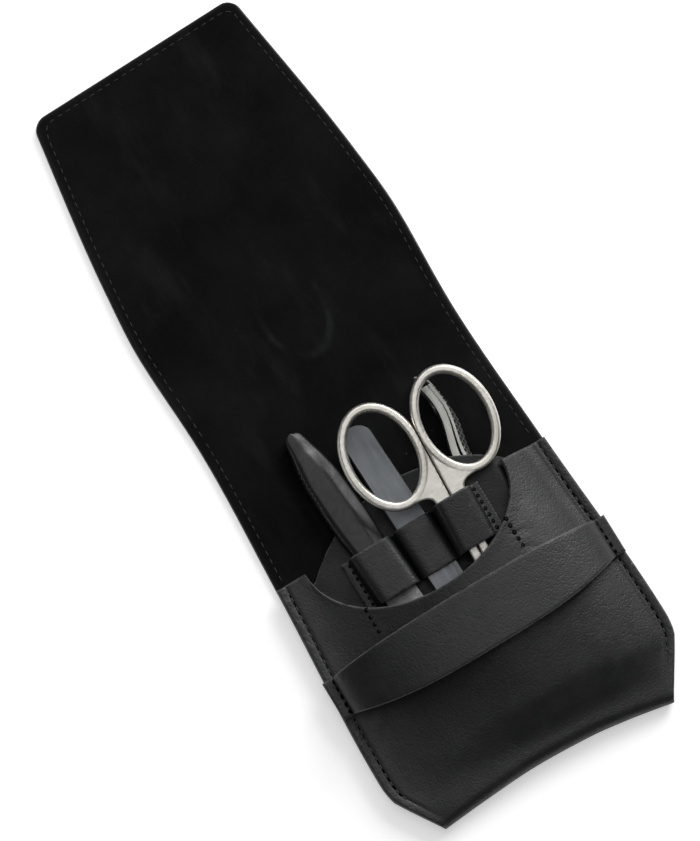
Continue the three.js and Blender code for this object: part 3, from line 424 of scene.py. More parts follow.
def flap_sheet(name, thick, middle, inset, radius):
    """The flap's leather or lining: flat, with rounded far corners."""
    reach = edge_curve(CASE_LENGTH - END_CORNER) - inset
    corner = END_CORNER - inset
    outer = [1 - step / reach for step in EDGE_STEPS]
    outer += [1 - corner * (1 - math.sin(turn * math.pi / 2)) / reach for turn in spread(7)]
    outer = sorted({round(share, 6) for share in outer})
    shares = [outer[0] * k / 26 for k in range(1, 26)] + outer
    columns = []
    for share in [-share for share in reversed(shares)] + [0.0] + shares:
        over = max(0.0, abs(share * reach) - (reach - corner))
        drop = corner - math.sqrt(max(0.0, corner * corner - over * over))
        top = flap_end(share * reach) - inset - drop
        columns.append([
            (share * (edge_curve(min(y, CASE_LENGTH)) - inset), y, middle,
             min(top - y, (1 - abs(share)) * reach))
            for y in up_to(SHELL_TOP, top, 58, 2.2, EDGE_STEPS[::-1])
        ])
    return sheet_piece(name, by_rows(columns), thick, radius, butted=0)


def back_lining():
    grid = []
    for step in spread(70):
        y = mix(LINING_START, SHELL_TOP, step)
        reach = edge_curve(y) - LINING_INSET
        grid.append([
            (share * reach, y, LINING_MIDDLE, (1 - abs(share)) * reach)
            for share in (k / 60 for k in range(-60, 61))
        ])
    return sheet_piece("suede_lining", grid, SUEDE, SUEDE_ROUND, butted=-1)


# -------- holder panel, loops, strap
PANEL_INSET = 0.6
PANEL_BOTTOM = 14
DOME_RADIUS = 40.5
DOME_TOP = 81.8
DOME_HALF = 29
HUMP_LEFT_RUN = 3.5
HUMP_RIGHT_RUN = 10
CLIPPER_X = 18.35
LEAF_REACH = 1.5 + LEAF_THICK
HUMP_LEFT = CLIPPER_X - LEAF_REACH - 1.5
PIN_X = CLIPPER_X + LEAF_REACH + SEAT + 1.3
PIN_HALF = 1.3
CLIPPER_BOTTOM = 46.9
HUMP_START = CLIPPER_BOTTOM - 2 * CLIPPER_WIDTH
# How far above the scoop's edge the painted shade on the panel fades out
MOUTH_SHADE = 13


def panel_upper(x, y):
    right = PIN_X + PIN_HALF * (1 - smooth((y - LOOP_BOTTOM) / (LOOP_TOP - LOOP_BOTTOM)))
    rising = smooth((x - HUMP_LEFT + HUMP_LEFT_RUN) / HUMP_LEFT_RUN)
    falling = 1 - smooth((x - right - SEAT) / HUMP_RIGHT_RUN)
    fading = smooth((y - HUMP_START) / (CLIPPER_BOTTOM - HUMP_START))
    return PANEL_TOP + HUMP_RISE * rising * falling * fading


def dome_edge(x):
    out = min(abs(x), DOME_HALF)
    return DOME_TOP - DOME_RADIUS + math.sqrt(DOME_RADIUS ** 2 - out ** 2)


def holder_panel():
    shoulder = edge_curve(dome_edge(DOME_HALF)) - PANEL_INSET
    half = [k / 50 for k in range(49)] + [0.975, 0.985, 0.993, 1.0]
    columns = []
    for share in [-share for share in half[:0:-1]] + half:
        top = dome_edge(share * shoulder)
        column = []
        for y in up_to(PANEL_BOTTOM, top, 63, 2, [1.2, 0.7, 0.4, 0.2, 0.08, 0]):
            x = share * (edge_curve(y) - PANEL_INSET)
            # Painted shade: the panel is painted darker near the pocket's mouth, where the pocket's
            # front shades it
            shade = 1 - smooth((y - scoop_edge(x) - 1) / MOUTH_SHADE)
            edge = min(top - y, (1 - abs(share)) * shoulder)
            column.append((x, y, panel_upper(x, y) - PANEL / 2, edge, shade))
        columns.append(column)
    return sheet_piece("tool_panel", by_rows(columns), PANEL, 0.4, marks=("shade",))


FEET = [-19.3, -6.3, 4.2, 15.7]
STRIP_TAB = 2
STRIP_ENDS = [0, 0.12, 0.3, 0.6, 1.1]
LOOP_HALVES = [HANDLE_HALF * 0.93, ARM_HALF, 4.15]


def strip_middle(x, y):
    """Height of the strip's middle where it lies on the panel."""
    return panel_upper(x, y) + SEAT + STRIP / 2


def loop_side(foot, edge, out, top, y):
    """Half a loop's middle line, from a foot over a tool's edge, with out towards the foot."""
    low, middle = strip_middle(foot, y), top + STRIP / 2
    return [
        (foot, low),
        (mix(foot, edge, 0.4), mix(low, middle, 0.1)),
        (edge + out * 0.62, mix(low, middle, 0.5)),
        (edge + out * 0.38, mix(low, middle, 0.84)),
        (edge - out * 0.6, middle + 0.02),
        (edge - out * 2.2, middle + 0.16),
    ]


def strip_path(y):
    """The strip's rounded middle line at a height: tab, three loops, tab."""
    path = [(FEET[0] - STRIP_TAB, strip_middle(FEET[0], y))]
    tops = [TOOL_LOW + TOOL_THICK + SEAT] * 2 + [crown_low(y)]
    axes = [FILE_AXIS, TWEEZERS_AXIS, SCISSORS_AXIS]
    for left, right, (x, y0, lean), half, top in zip(FEET, FEET[1:], axes, LOOP_HALVES, tops):
        x -= (y - y0) * math.tan(math.radians(lean))
        path += loop_side(left, x - half, -1, top, y)
        path += loop_side(right, x + half, 1, top, y)[:0:-1]
    path += [(x, strip_middle(x, y)) for x in (FEET[-1], FEET[-1] + STRIP_TAB)]
    for _ in range(2):
        cut = [path[0]]
        for a, b in zip(path, path[1:]):
            cut += [tuple(mix(p, q, share) for p, q in zip(a, b)) for share in (0.25, 0.75)]
        path = cut + [path[-1]]
    return path


def strip_painted_shade(x):
    """Painted shade: darker in the valleys between the loops and on the right tab."""
    away = min(abs(x - foot) for foot in FEET) / 1.3
    return 0.15 * math.exp(-away ** 2) + smooth((x - FEET[-1] - 0.4) / 0.6)


def loop_strip():
    height, last = LOOP_TOP - LOOP_BOTTOM, STRIP_ENDS[-1]
    ups = STRIP_ENDS + [mix(last, height - last, k / 14) for k in range(1, 14)]
    ups += [height - up for up in reversed(STRIP_ENDS)]
    grid, rims = [], []
    for up in ups:
        y = LOOP_BOTTOM + up
        path = strip_path(y)
        near, start, end = min(up, height - up), path[0][0], path[-1][0]
        grid.append([(x, y, z, min(near, x - start), strip_painted_shade(x)) for x, z in path])
        rims.append([min(near, x - start, end - x) for x, z in path])
    return sheet_piece("tool_loops", grid, STRIP, 0.35, marks=("shade",), rims=rims)


STRAP_END_WIDTH = 10.5
STRAP_MIDDLE_WIDTH = 16
STRAP_END_HEIGHT = 42
STRAP_MIDDLE_HEIGHT = 40.4
STRAP_LOW = SEAM_TOP + SEAT
STRAP_REACH = edge_curve(STRAP_END_HEIGHT) - SEAM + STRAP
STRAP_RISE = BULGE_RISE + 3
STRAP_END = edge_curve(STRAP_END_HEIGHT) + 0.3


def strap():
    middle = STRAP_LOW + STRAP / 2
    left = [(step - STRAP_END, middle) for step in EDGE_STEPS[:-1] + [2]]
    left.append((-STRAP_REACH - 0.5, middle))
    path = left + [
        (STRAP_REACH * math.sin(angle), middle + STRAP_RISE * math.cos(angle))
        for angle in ((turn - 0.5) * math.pi for turn in spread(72))
    ] + [(-x, z) for x, z in reversed(left)]
    across = [0, 0.008, 0.02, 0.045, 0.09]
    across += [mix(0.09, 0.91, k / 14) for k in range(1, 14)] + [1 - s for s in across[::-1]]
    grid = []
    for share in across:
        row = []
        for x, z in path:
            out = clamp01(abs(x) / STRAP_REACH) ** 3
            width = mix(STRAP_MIDDLE_WIDTH, STRAP_END_WIDTH, out)
            y = mix(STRAP_MIDDLE_HEIGHT, STRAP_END_HEIGHT, out) + (share - 0.5) * width
            row.append((x, y, z, min(share * width, (1 - share) * width, STRAP_END - abs(x))))
        grid.append(row)
    return sheet_piece("closing_strap", grid, STRAP, 0.45)


# -------- threads
THREAD_STATIONS = [(0, 0.35), (0.1, 0.75), (0.35, 1), (0.65, 1), (0.9, 0.75), (1, 0.35)]
THREAD_SIDES = 6
HOLE_SIDES = 8


def thread_part(start, end, radius, lift):
    """The visible length of one stitch, arched a little between its two holes."""
    start, end = np.array(start, float), np.array(end, float)
    along = (end - start) / np.linalg.norm(end - start)
    side = np.cross(along, (0, 0, 1))
    side /= np.linalg.norm(side)
    up = np.cross(side, along)
    points = []
    for share, size in THREAD_STATIONS:
        middle = mix(start, end, share) + up * lift * (4 * share * (1 - share) - 0.3)
        for cosine, sine in circle(THREAD_SIDES):
            across = side * cosine + up * sine * 0.75
            points.append(tuple(middle + across * radius * size))
    return points, tube_faces(len(THREAD_STATIONS), THREAD_SIDES)


def hole_part(x, y, z, width, height):
    """A low dark dimple where a stitch goes down, painted near black as painted shade for its hole.
    """
    points = [(x, y, z + height)]
    for radius, up in ((0.7, 0.8), (1.0, 0.0)):
        reach = width * radius
        for cosine, sine in circle(HOLE_SIDES):
            points.append((x + reach * cosine, y + reach * sine, z + height * up))
    faces = []
    for k in range(HOLE_SIDES):
        a, b = 1 + k, 1 + (k + 1) % HOLE_SIDES
        faces += [(0, a, b), (a, a + HOLE_SIDES, b + HOLE_SIDES, b)]
    return points, faces


def along_path(path, pitch, share):
    """Start and end places (x, y) of the stitches along a path."""
    path = np.array(path, float)
    lengths = np.linalg.norm(np.diff(path, axis=0), axis=1)
    reached = np.concatenate([[0], np.cumsum(lengths)])
    count = max(1, round(reached[-1] / pitch))
    step = reached[-1] / count
    return [
        [
            tuple(np.interp((k + 0.5 + turn) * step, reached, path[:, i]) for i in (0, 1))
            for turn in (-share / 2, share / 2)
        ]
        for k in range(count)
    ]


def stitched(path, surface, pitch, share, radius, lift):
    return [
        thread_part((*start, surface(*start)), (*end, surface(*end)), radius, lift)
        for start, end in along_path(path, pitch, share)
    ]


def holes_along(path, surface, pitch, share, width, height):
    return [
        hole_part(x, y, surface(x, y), width, height)
        for ends in along_path(path, pitch, share) for x, y in sorted(set(ends))
    ]


def side_path(sign, low, high):
    heights = [mix(low, high, share) for share in spread(max(2, int((high - low) / 2)))]
    return [(sign * (edge_curve(y) - STITCH_INSET), y) for y in heights]


def end_path():
    """Round the flap's far end, from its left side to its right side."""
    low = CASE_LENGTH - END_CORNER - STITCH_INSET
    reach = edge_curve(low) - STITCH_INSET
    corner = 2.6
    top = []
    for turn in spread(5):
        angle = turn * math.pi / 2
        x = -reach + corner * (1 - math.cos(angle)) + 0.2
        top.append((x, flap_end(x) - STITCH_INSET - corner * (1 - math.sin(angle))))
    top += [(-x, y + flap_end(-x) - flap_end(x)) for x, y in reversed(top)]
    return side_path(-1, FOLD_END + 0.5, low) + top + side_path(1, FOLD_END + 0.5, low)[::-1]


def flat_at(height):
    return lambda x, y: height


def pocket_surface(x, y):
    """The pocket front's outer face, as drawn down along the stitches."""
    return front_outer(x, y) - seam_groove(x, y) - PUCKER_DEPTH * pucker(x, y)


def strip_surface(x, y):
    """The strip's outer face at the bottom of a valley between two loops."""
    return min(z for place, z in strip_path(y) if abs(place - x) < 0.9) + STRIP / 2


# -------- materials
class Graph:
    """Short calls for building a node tree."""

    def __init__(self, tree):
        self.tree = tree

    def add(self, kind, inputs=None, **settings):
        """A new node's outputs, with its inputs joined to sockets or set to values."""
        node = self.tree.nodes.new(kind)
        for key, value in settings.items():
            setattr(node, key, value)
        for key, value in (inputs or {}).items():
            socket = node.inputs[key]
            if isinstance(value, bpy.types.NodeSocket):
                self.tree.links.new(value, socket)
            elif isinstance(value, tuple):
                socket.default_value = (*value, 1)[:len(socket.default_value)]
            else:
                socket.default_value = value
        return node.outputs

    def feed(self, name, source):
        self.tree.links.new(source, self.shader.inputs[name])

    def part_of(self, axis):
        return self.add("ShaderNodeSeparateXYZ", {"Vector": self.where})[axis]

    def stretched(self, scale, place=(0, 0, 0), kind="POINT"):
        inputs = {"Vector": self.where, "Location": place, "Scale": scale}
        return self.add("ShaderNodeMapping", inputs, vector_type=kind)["Vector"]

    def ring_at(self, x, y, half_x, half_y, width):
        """One on an elliptical ring in the case's plane, fading to nothing off it."""
        place = self.stretched((half_x * MM, half_y * MM, 1000), at(x, y), "TEXTURE")
        length = self.add("ShaderNodeVectorMath", {0: place}, operation="LENGTH")["Value"]
        off = self.maths("ABSOLUTE", self.maths("SUBTRACT", length, 1))
        return self.span(off, 0, width, 1, 0)

    def attribute(self, name):
        return self.add("ShaderNodeAttribute", attribute_name=name)["Fac"]

    def noise(self, scale, detail=3.0, rough=0.5, vector=None):
        return self.add("ShaderNodeTexNoise", {
            "Vector": vector or self.where, "Scale": scale, "Detail": detail, "Roughness": rough,
        })["Fac"]

    def cells(self, scale, feature="F1"):
        inputs = {"Vector": self.where, "Scale": scale}
        return self.add("ShaderNodeTexVoronoi", inputs, feature=feature)["Distance"]

    def ramp(self, source, low, dark, high, light):
        colour = self.add("ShaderNodeValToRGB", {"Fac": source})["Color"]
        stops = colour.node.color_ramp.elements
        stops[0].position, stops[1].position = low, high
        stops[0].color, stops[1].color = (*dark, 1), (*light, 1)
        return colour

    def span(self, source, low, high, out_low=0.0, out_high=1.0):
        return self.add("ShaderNodeMapRange", {
            "Value": source, "From Min": low, "From Max": high, "To Min": out_low,
            "To Max": out_high,
        }, interpolation_type="SMOOTHSTEP")["Result"]

    def maths(self, operation, *values):
        return self.add("ShaderNodeMath", dict(enumerate(values)), operation=operation)["Value"]

    def times(self, a, b):
        return self.maths("MULTIPLY", a, b)

    def blend(self, factor, a, b):
        return self.add("ShaderNodeMix", {0: factor, 6: a, 7: b}, data_type="RGBA")[2]

    def bump(self, *layers):
        """Each layer is (height, distance in millimetres)."""
        below = {}
        for height, distance in layers:
            inputs = {"Height": height, "Strength": 1.0, "Distance": distance * MM, **below}
            below = {"Normal": self.add("ShaderNodeBump", inputs)["Normal"]}
        self.feed("Normal", below["Normal"])


def new_material(name, colour, rough, metallic=0.0, specular=0.5):
    """A material and the graph that its look is built in."""
    material = bpy.data.materials.new(name)
    material.use_nodes = True
    g = Graph(material.node_tree)
    g.shader = g.tree.nodes["Principled BSDF"]
    for key, value in [("Base Color", (*colour, 1)), ("Roughness", rough),
                       ("Metallic", metallic), ("Specular IOR Level", specular)]:
        g.shader.inputs[key].default_value = value
    g.where = g.add("ShaderNodeTexCoord")["Object"]
    return material, g


def scaled(colour, share):
    return tuple(share * c for c in colour)


def leather_material(name, specular):
    dark, light, rim = LEATHER_TONES
    material, g = new_material(name, dark, 0.5, specular=specular)
    seam = g.attribute("seam")
    base = g.ramp(g.noise(55, 4, 0.6), 0.3, dark, 0.7, light)
    base = g.blend(g.span(g.noise(900, 3, 0.6), 0.35, 0.75, 0, 0.35), base, light)
    rub = g.noise(260, 4, 0.65, g.stretched((1, 0.6, 1)))
    base = g.blend(g.span(rub, 0.55, 0.8, 0, 0.45), base, scaled(light, 2.3))
    # Painted shade: the shade mark darkens the base on the panel near the pocket's mouth, in the
    # valleys between the loops and on the strip's right tab
    base = g.blend(g.times(g.attribute("shade"), 0.8), base, (0.003, 0.003, 0.0035))
    scuffs = g.times(seam, g.span(g.noise(620, 4, 0.7), 0.42, 0.62))
    base = g.blend(g.times(scuffs, 0.7), base, scaled(light, 2.4))
    near = g.span(g.attribute("edge"), 0.0, 0.5, 1, 0)
    base = g.blend(g.times(near, g.span(g.noise(500), 0.25, 0.55)), base, rim)
    dust = g.times(g.span(g.cells(190), 0.02, 0.05, 1, 0), g.span(g.noise(23, 1), 0.62, 0.66))
    g.feed("Base Color", g.blend(dust, base, (0.2, 0.2, 0.19)))
    g.feed("Roughness", g.span(g.noise(240, 4), 0.25, 0.75, 0.42, 0.56))
    gathers = g.noise(420, 2, 0.5, g.stretched((0.25, 1, 1)))
    g.bump(
        (g.times(g.attribute("pucker"), gathers), 0.4),
        (g.times(seam, g.noise(620, 4, 0.7)), 0.3),
        (g.noise(90, 2), 0.05),
        (g.span(g.cells(420, "DISTANCE_TO_EDGE"), 0.0, 0.25), 0.009),
        (g.span(g.cells(1500), 0.0, 0.6), 0.034),
        (g.noise(3200, 2), 0.018),
    )
    return material


# Where the suede has been rubbed by a finger ring: place, half width and half height
RING_PRINT = (1.4, 131.5, 8.2, 12.4)


def suede_material():
    material, g = new_material("suede_nap", (0.004, 0.004, 0.004), 0.95, specular=0.1)
    base = g.ramp(
        g.noise(38, 5, 0.62), 0.38, (0.0012, 0.0013, 0.0012), 0.76, (0.0075, 0.0079, 0.0077)
    )
    brush = g.noise(60, 4, 0.6, g.stretched((1.7, 0.55, 1)))
    base = g.blend(g.span(brush, 0.52, 0.74, 0, 0.6), base, (0.0115, 0.012, 0.0117))
    nap = g.noise(2600, 3, 0.7)
    base = g.blend(g.span(nap, 0.4, 0.8, 0, 0.45), base, (0.007, 0.0073, 0.0072))
    rubbed = g.span(g.noise(70, 3, 0.6, g.stretched((1, 0.8, 1))), 0.42, 0.66)
    ring = g.times(g.times(g.ring_at(*RING_PRINT, 0.16), rubbed), 0.75)
    base = g.blend(ring, base, (0.0155, 0.0165, 0.0165))
    lint = g.times(g.span(g.cells(230), 0.02, 0.05, 1, 0), g.span(g.noise(31, 1), 0.58, 0.62))
    base = g.blend(lint, base, (0.14, 0.14, 0.13))
    near = g.span(g.attribute("edge"), 0.0, 1.2, 0.5, 0)
    g.feed("Base Color", g.blend(near, base, (0.02, 0.02, 0.02)))
    g.shader.inputs["Sheen Weight"].default_value = 0.05
    g.shader.inputs["Sheen Roughness"].default_value = 0.5
    g.bump((g.noise(1800, 4, 0.7), 0.12), (g.noise(90, 3), 0.15))
    return material


def thread_material(name, colour, specular=0.3):
    material, g = new_material(name, colour, 0.85, specular=specular)
    fibre = g.noise(2500, 2, 0.5)
    g.feed("Base Color", g.ramp(fibre, 0.3, scaled(colour, 0.6), 0.7, colour))
    g.bump((fibre, 0.05))
    return material


def plastic_material(colour):
    """Black moulded plastic with shallow grip ridges where the grip attribute asks for them."""
    material, g = new_material("handle_plastic", colour, 0.4, specular=0.42)
    g.feed("Base Color", g.ramp(g.noise(300, 4), 0.3, colour, 0.8, scaled(colour, 1.7)))
    g.feed("Roughness", g.span(g.noise(700, 3), 0.3, 0.7, 0.3, 0.4))
    ridges = g.maths("SINE", g.times(g.part_of("Y"), 2 * math.pi / (1.35 * MM)))
    g.bump((g.times(g.attribute("grip"), ridges), 0.14), (g.noise(900, 3), 0.006))
    return material


def knurled_material(dark, light):
    """Steel with a cross-hatched thumb grip, drawn in the plane of the lever."""
    material, g = new_material("lever_steel", light, 0.34, 0.35)
    along = g.times(g.part_of("Y"), math.pi / (1.5 * MM))
    across = g.times(g.part_of("Z"), math.pi / (5.5 * MM))
    lines = [
        g.maths("ABSOLUTE", g.maths("SINE", g.maths(kind, along, across)))
        for kind in ("ADD", "SUBTRACT")
    ]
    pits = g.span(g.maths("MINIMUM", *lines), 0.18, 0.5)
    grooves = g.times(pits, g.attribute("knurl"))
    steel = g.ramp(g.noise(160, 4), 0.25, dark, 0.75, light)
    # Painted shade: the knurl's grooves are painted near black, for the shade in pits that the bump
    # alone doesn't give
    g.feed("Base Color", g.blend(grooves, steel, scaled(dark, 0.14)))
    g.feed("Roughness", g.span(grooves, 0, 1, 0.4, 0.8))
    g.bump((g.times(grooves, -1), 0.25), (g.noise(900, 3), 0.01))
    return material


def metal_material(name, dark, light, rough, along=(1, 1, 1), grain=0.01):
    material, g = new_material(name, light, rough, 1.0)
    g.feed("Base Color", g.ramp(g.noise(160, 4, 0.6), 0.25, dark, 0.75, light))
    lines = g.noise(900, 3, 0.6, g.stretched(along))
    g.feed("Roughness", g.span(lines, 0.25, 0.75, rough - 0.05, rough + 0.09))
    g.bump((lines, grain), (g.noise(4200, 2), grain))
    return material


# Dark, light and worn rim
LEATHER_TONES = (0.0046, 0.005, 0.0052), (0.0096, 0.0101, 0.0103), (0.09, 0.091, 0.092)
LEATHER = leather_material("leather_grain", 0.5)
INNER_LEATHER = leather_material("leather_inner", 0.28)
SUEDE_SKIN = suede_material()
THREAD_DARK = thread_material("thread_dark", (0.006, 0.006, 0.007))
# Painted sheen: the next two are the same black thread, painted lighter where its sheen shows, on
# the suede and on the back and side seams
THREAD_SHEEN_LIGHT = thread_material("thread_sheen_light", (0.036, 0.037, 0.036))
THREAD_SHEEN_GREY = thread_material("thread_sheen_grey", (0.06, 0.06, 0.06))
# Painted shade: near-black discs stand in for the shade inside the stitch holes
HOLE_SHADE = thread_material("stitch_hole_shade", (0.0016, 0.0016, 0.0017), 0.02)
HANDLE_SKIN = plastic_material((0.0055, 0.0059, 0.0066))
GRIT = metal_material("file_grit", (0.16, 0.16, 0.16), (0.3, 0.3, 0.3), 0.6, grain=0.05)
TWEEZER_STEEL = metal_material(
    "tweezers_satin", (0.138, 0.146, 0.155), (0.172, 0.181, 0.191), 0.46, (1, 0.05, 1)
)
NICKEL = metal_material(
    "satin_nickel", (0.66, 0.635, 0.585), (0.8, 0.775, 0.72), 0.36, (0.3, 1, 1)
)
CLIPPER_STEEL = metal_material(
    "clipper_steel", (0.34, 0.34, 0.32), (0.46, 0.455, 0.43), 0.42, (1, 0.08, 1)
)
LEVER_STEEL = knurled_material((0.2, 0.2, 0.19), (0.3, 0.3, 0.285))


# -------- making the case
def placed(piece, material, slot, body, *nodes):
    """Gives a piece its material and body; the slot is not used. Where the body is a tuple of two
    bodies and a crease's height, the piece is only baked in place.
    """
    piece.data.materials.clear()
    piece.data.materials.append(material)
    if isinstance(body, tuple):
        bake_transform(piece)
    else:
        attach(piece, body)
    if nodes:
        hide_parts(*nodes)
    return piece


LOW_CREASE = ("case", "fold", CREASE_HEIGHT)
HIGH_CREASE = ("fold", "flap", FOLD_END)

placed(case_shell(), LEATHER, "leather", LOW_CREASE, "back_leather", "pocket_front",
       "fold_leather")
placed(flap_sheet("flap_shell", HIDE, HIDE / 2, 0.0, HIDE_ROUND), LEATHER, "leather",
       HIGH_CREASE, "flap_leather")
suede = placed(back_lining(), SUEDE_SKIN, "suede", LOW_CREASE, "back_lining", "fold_lining")
flap_suede = placed(
    flap_sheet("flap_suede", SUEDE, LINING_MIDDLE, LINING_INSET, SUEDE_ROUND),
    SUEDE_SKIN, "suede", HIGH_CREASE, "flap_lining",
)
for lining, low, high, rest in [
    (suede, LINING_START, SHELL_TOP, "case_shell"),
    (flap_suede, SHELL_TOP, CASE_LENGTH - LINING_INSET, "flap_shell"),
]:
    widths = [
        2 * (edge_curve(mix(low, high, (k + 0.5) / 200)) - LINING_INSET) * MM for k in range(200)
    ]

placed(holder_panel(), INNER_LEATHER, "leather", "case", "holder_panel")
placed(loop_strip(), LEATHER, "leather", "case", "loop_strip")
placed(strap(), LEATHER, "leather", "case", "strap")

STITCH_PITCH = 2.4
FOOT_PITCH = 1.85
FOOT_STITCH = (FOOT_PITCH, 0.42, 0.34, 0.16)
FOOT_HOLE = (FOOT_PITCH, 0, 0.68, 0.1)


def sew(name, parts, material, body, slot):
    """One piece from several (points, faces) parts."""
    points, faces = [], []
    for part_points, part_faces in parts:
        start = len(points)
        points.extend(part_points)
        faces.extend(tuple(start + i for i in face) for face in part_faces)
    placed(mesh_piece(name, points, faces), material, slot, body)


# The case's border, on the suede from the horns up and on the back from the bottom up
for side, slot, start, height, radius, lift, material in [
    ("suede", "suede", 74, LINING_TOP, 0.15, 0.05, THREAD_SHEEN_LIGHT),
    ("back", "leather", 9, 0.06, 0.2, 0, THREAD_SHEEN_GREY),
]:
    for body, paths in [
        ("case", [side_path(sign, start, CREASE_HEIGHT - 0.5) for sign in (-1, 1)]),
        ("fold", [side_path(sign, CREASE_HEIGHT + 0.5, FOLD_END - 0.5) for sign in (-1, 1)]),
        ("flap", [end_path()]),
    ]:
        parts = []
        for path in paths:
            parts += stitched(path, flat_at(height), STITCH_PITCH, 0.62, radius, lift)
        sew(f"{body}_{side}_thread", parts, material, body, slot)

# The pocket's side seams, under, through and over the strap's ends
STRAP_BOTTOM, STRAP_TOP = (
    STRAP_END_HEIGHT + sign * STRAP_END_WIDTH / 2 for sign in (-1, 1)
)
seam_threads, seam_holes = [], []
for sign in (-1, 1):
    for low, high, surface in [
        (8, STRAP_BOTTOM - 0.8, pocket_surface),
        (STRAP_BOTTOM + 1, STRAP_TOP - 1, flat_at(STRAP_LOW + STRAP)),
        (STRAP_TOP + 0.8, HORN_HEIGHT - 1.5, pocket_surface),
    ]:
        line = side_path(sign, low, high)
        seam_threads += stitched(line, surface, STITCH_PITCH, 0.55, 0.22, 0.12)
        seam_holes += holes_along(line, surface, STITCH_PITCH, 0.8, 0.56, 0.08)
foot_threads, foot_holes = [], []
for x, low, high, surface in (
    [(foot, LOOP_BOTTOM + 0.5, LOOP_TOP - 0.5, strip_surface) for foot in FEET]
    + [(*row, pocket_surface) for row in PUCKER_ROWS]
):
    foot_threads += stitched([(x, low), (x, high)], surface, *FOOT_STITCH)
    foot_holes += holes_along([(x, low), (x, high)], surface, *FOOT_HOLE)
sew("seam_thread", seam_threads, THREAD_SHEEN_GREY, "case", "leather")
sew("seam_holes", seam_holes, HOLE_SHADE, "case", "leather")
sew("foot_thread", foot_threads, THREAD_DARK, "case", "leather")
sew("foot_holes", foot_holes, HOLE_SHADE, "case", "leather")


# -------- metal and plastic pieces
class ToolFrame:
    """A tool's own frame, with its Y leaning from the case's Y and tilted up from its plane."""

    def __init__(self, x, y, lean, z, tilt=0.0):
        leaned = Matrix.Rotation(math.radians(lean), 3, "Z")
        self.turn = np.array(leaned @ Matrix.Rotation(math.radians(tilt), 3, "X"))
        self.origin = np.array([x, y, z])

    def to_case(self, points):
        return np.array(points, float) @ self.turn.T + self.origin

    def to_tool(self, points):
        return (np.array(points, float) - self.origin) @ self.turn


CLIPPER_TOP = 96.9
FILE_FRAME = ToolFrame(*FILE_AXIS, TOOL_LOW)
TWEEZERS_FRAME = ToolFrame(*TWEEZERS_AXIS, TOOL_LOW)
SCISSORS_FRAME = ToolFrame(*SCISSORS_AXIS, scissors_low(SCISSORS_AXIS[1]), SCISSORS_TILT)
CLIPPER_FRAME = ToolFrame(CLIPPER_X, CLIPPER_TOP, 0, PANEL_LOW)
SHARP_ANGLE = math.radians(30)
BEVEL_ANGLE = math.radians(35)


def places_of(piece):
    """A piece's points in the case's millimetres."""
    flat = np.empty(len(piece.data.vertices) * 3)
    piece.data.vertices.foreach_get("co", flat)
    points = flat.reshape(-1, 3) / MM
    points[:, 1] += MIDDLE_Y
    return points


def reshaped(piece, frame_of, change):
    """Moves a new piece's points, given and returned in its tool's own frame."""
    local = change(frame_of.to_tool(places_of(piece)))
    piece.data.vertices.foreach_set("co", in_metres(frame_of.to_case(local)).ravel())
    piece.data.update()
    return piece


def edited(piece, edit):
    """Runs an edit on a new piece's mesh."""
    work = bmesh.new()
    work.from_mesh(piece.data)
    edit(work)
    work.to_mesh(piece.data)
    work.free()
    return piece


HANDLE_LENGTH = 37.1
HANDLE_SHARES = [
    (0, 0.86), (0.1, 0.93), (0.33, 1), (0.58, 0.97), (0.76, 0.8), (0.85, 0.65), (0.93, 0.53),
    (0.968, 0.45), (0.988, 0.33), (1, 0.1),
]
HANDLE_TIP_THICK = 1.9
handle_half = curve_through([(HANDLE_LENGTH * up, HANDLE_HALF * out) for up, out in HANDLE_SHARES])


def toward(a, b, reach):
    """The point at a reach from a towards b, at most about halfway."""
    share = min(0.48, reach / (math.dist(a, b) + 1e-9))
    return tuple(mix(p, q, share) for p, q in zip(a, b))


def softened(corners, reach):
    """A closed outline with its corners rounded."""
    points = []
    for before, corner, after in zip(corners[-1:] + corners, corners, corners[1:] + corners[:1]):
        start, end = toward(corner, before, reach), toward(corner, after, reach)
        for t in spread(4):
            points.append(tuple(
                mix(mix(a, c, t), mix(c, b, t), t) for a, c, b in zip(start, corner, end)
            ))
    return points


def handle_ring(y):
    """The handle's section: a wide bevel at its right, a narrow one at its left."""
    half = handle_half(y)
    top = mix(TOOL_THICK, HANDLE_TIP_THICK, smooth((y / HANDLE_LENGTH - 0.8) / 0.2))
    side = min(2.4, top * 0.62)
    taper = min(1, half / (0.8 * HANDLE_HALF))
    left, right, foot = 1.1 * taper, 3.3 * taper, 0.3 * taper
    corners = [
        (-half + foot, 0), (half - foot, 0), (half, foot), (half, side), (half - right, top),
        (left - half, top), (-half, side), (-half, foot),
    ]
    return [(x, y, z) for x, z in softened(corners, 0.9 * taper)]


def lofted(name, rings, frame_of):
    points = [point for ring in rings for point in ring]
    faces = tube_faces(len(rings), len(rings[0]))
    piece = mesh_piece(name, frame_of.to_case(points), faces)
    edited(piece, lambda work: bmesh.ops.recalc_face_normals(work, faces=work.faces))
    piece.data.set_sharp_from_angle(angle=SHARP_ANGLE)
    return piece


def handle():
    ends = [HANDLE_LENGTH * (1 - 0.12 * (1 - math.sin(t * math.pi / 2))) for t in spread(16)]
    heights = [ends[0] * t for t in spread(44)] + ends[1:]
    piece = lofted("handle_skin", [handle_ring(y) for y in heights], FILE_FRAME)
    x, y, z = FILE_FRAME.to_tool(places_of(piece)).T
    grip = eased((-x - 3.6) / 0.6) * eased((y - 16) / 2) * eased((30 - y) / 2)
    return marked(piece, "grip", grip)


